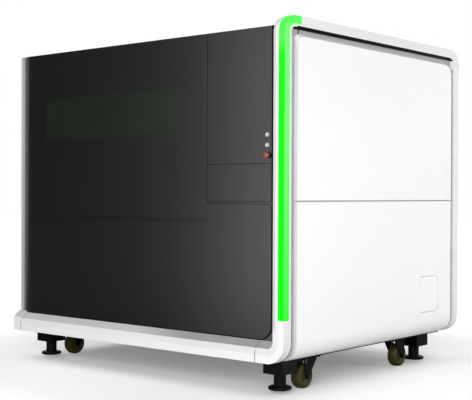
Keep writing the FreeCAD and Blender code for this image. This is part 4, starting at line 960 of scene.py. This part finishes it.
def floor():
    """Pale floor that fades to white away from the machine and keeps its shadow.

    Where the flag is, glossy rays lose most of it."""
    half = FLOOR_REACH
    data = bpy.data.meshes.new("floor")
    corners = [(-half, -half, 0), (half, -half, 0), (half, half, 0), (-half, half, 0)]
    data.from_pydata(corners, [], [(0, 1, 2, 3)])
    item = bpy.data.objects.new("floor", data)
    bpy.context.scene.collection.objects.link(item)
    material = bpy.data.materials.new("floor")
    material.use_nodes = True
    drop = Backdrop(material.node_tree)
    place = drop.add("TexCoord").node.outputs["Object"]
    across = drop.tree.nodes.new("ShaderNodeSeparateXYZ")
    drop.tree.links.new(place, across.inputs[0])
    lean = drop.ramp(across.outputs["X"], *FLOOR_LEAN)
    beside = drop.add("VectorMath", place, operation="ABSOLUTE")
    beside = drop.add("VectorMath", beside, FLOOR_HALF, operation="SUBTRACT")
    beside = drop.add("VectorMath", beside, Vector(), operation="MAXIMUM")
    far = drop.add("VectorMath", beside, operation="LENGTH").node.outputs["Value"]
    lean = drop.add("Math", lean, drop.ramp(far, *FLOOR_EDGE[:2], 0.0, 1.0), operation="MULTIPLY")
    near, off = drop.ramp(far, *FLOOR_EDGE), drop.ramp(far, *FLOOR_FAR)
    glow = drop.add("Math", near, off, operation="ADD")
    glow = drop.add("Math", glow, lean, operation="ADD")
    seen = drop.add("Math", drop.ray("Camera"), drop.ray("Glossy"), operation="MAXIMUM")
    seen = drop.add("Math", seen, drop.ray("Transmission"), operation="MAXIMUM")
    strength = drop.add("Math", glow, seen, operation="MULTIPLY")
    surface = drop.add("BsdfDiffuse", (0.85, 0.85, 0.85, 1))
    bright = drop.add("AddShader", surface, drop.add("Emission", (1, 1, 1, 1), strength))
    aside = drop.add("VectorMath", place, FLAG_CENTRE, operation="SUBTRACT")
    shadow = drop.add("Math", 1.0, drop.flag(aside), operation="SUBTRACT")
    shadow = drop.add("Math", shadow, FLOOR_FLAG, operation="MULTIPLY")
    shadow = drop.add("Math", shadow, drop.ray("Glossy"), operation="MULTIPLY")
    dark = drop.add("Emission", (0, 0, 0, 1), 0.0)
    drop.add("OutputMaterial", drop.add("MixShader", shadow, bright, dark))
    data.materials.append(material)


def world():
    """White for what is seen, white with a dark flag in reflections, and soft light otherwise."""
    sky = bpy.data.worlds.new("studio")
    sky.use_nodes = True
    drop = Backdrop(sky.node_tree)
    where = drop.add("TexCoord").node.outputs["Generated"]
    white = drop.add("Background", (1, 1, 1, 1), 1.0)
    mirrored = drop.add("Background", (1, 1, 1, 1), drop.flag(where))
    fill = drop.add("Background", (1, 1, 1, 1), SKY_FILL)
    seen = drop.add("Math", drop.ray("Camera"), drop.ray("Transmission"), operation="MAXIMUM")
    lit = drop.add("MixShader", drop.ray("Glossy"), fill, mirrored)
    drop.add("OutputWorld", drop.add("MixShader", seen, lit, white))
    bpy.context.scene.world = sky


def softbox(name, place, target, width, height, radiance):
    """Rectangular lamp of a given radiance, where a white card that fills the sky gives 1."""
    lamp = bpy.data.lights.new(name, "AREA")
    lamp.shape = "RECTANGLE"
    lamp.size = width
    lamp.size_y = height
    lamp.energy = radiance * math.pi * width * height
    item = bpy.data.objects.new(name, lamp)
    item.location = place
    item.rotation_euler = (Vector(target) - Vector(place)).to_track_quat("-Z", "Y").to_euler()
    bpy.context.scene.collection.objects.link(item)


def lights():
    """Soft lamps, by place, target, width, height and radiance."""
    softbox("key_light", (4.0, -6.2, 2.2), (0.4, -0.3, 0.9), 3.0, 3.0, 14.3)
    softbox("front_light", (-1.15, -4.4, 1.4), (-1.15, -0.8, 1.4), 2.5, 2.7, 1.6)
    softbox("side_light", (4.5, 2.2, 1.0), (0.9, 0.2, 0.8), 2.6, 1.6, 4.7)
    softbox("left_light", (-3.8, 0.2, 1.0), (-1.0, -0.3, 0.2), 1.6, 1.2, 1.5)
    softbox("rear_light", (0.9, 5.4, 2.4), (0.3, 0.8, 1.0), 3.4, 2.2, 3.4)
    softbox("top_light", (0.3, -0.2, 4.6), (0.0, 0.0, 0.0), 5.0, 5.0, 0.30)


def camera():
    """The photograph's camera: yaw, then pitch, then roll about its own axis."""
    yaw = math.radians(CAMERA_YAW)
    pitch = math.radians(CAMERA_PITCH)
    roll = math.radians(CAMERA_ROLL)
    ahead = Vector((-math.sin(yaw) * math.cos(pitch), math.cos(yaw) * math.cos(pitch),
                    -math.sin(pitch)))
    level = Vector((math.cos(yaw), math.sin(yaw), 0.0))
    upright = level.cross(ahead)
    across = level * math.cos(roll) + upright * math.sin(roll)
    top = upright * math.cos(roll) - level * math.sin(roll)
    turned = Matrix((across, top, -ahead)).transposed().to_4x4()
    lens = bpy.data.cameras.new("camera")
    lens.sensor_fit = "HORIZONTAL"
    lens.sensor_width = SENSOR_WIDTH
    lens.lens = CAMERA_LENS
    lens.clip_end = 100.0
    item = bpy.data.objects.new("camera", lens)
    item.matrix_world = Matrix.Translation(CAMERA_PLACE) @ turned
    bpy.context.scene.collection.objects.link(item)
    bpy.context.scene.camera = item


finish_nodes()
front_edge_trims()
band_shadow_strip()
door_side_trims()
channel_shadow_line()
channel_seals()
belly_edge()
lip_sealant()
caster_bolts()
axle_nuts()
louvre_hoods()
rear_screws()
roof_screws()
guide_screws()
carriage_screws()
key_caps()
floor()
world()
lights()
camera()
bpy.context.scene.view_settings.view_transform = "Standard"
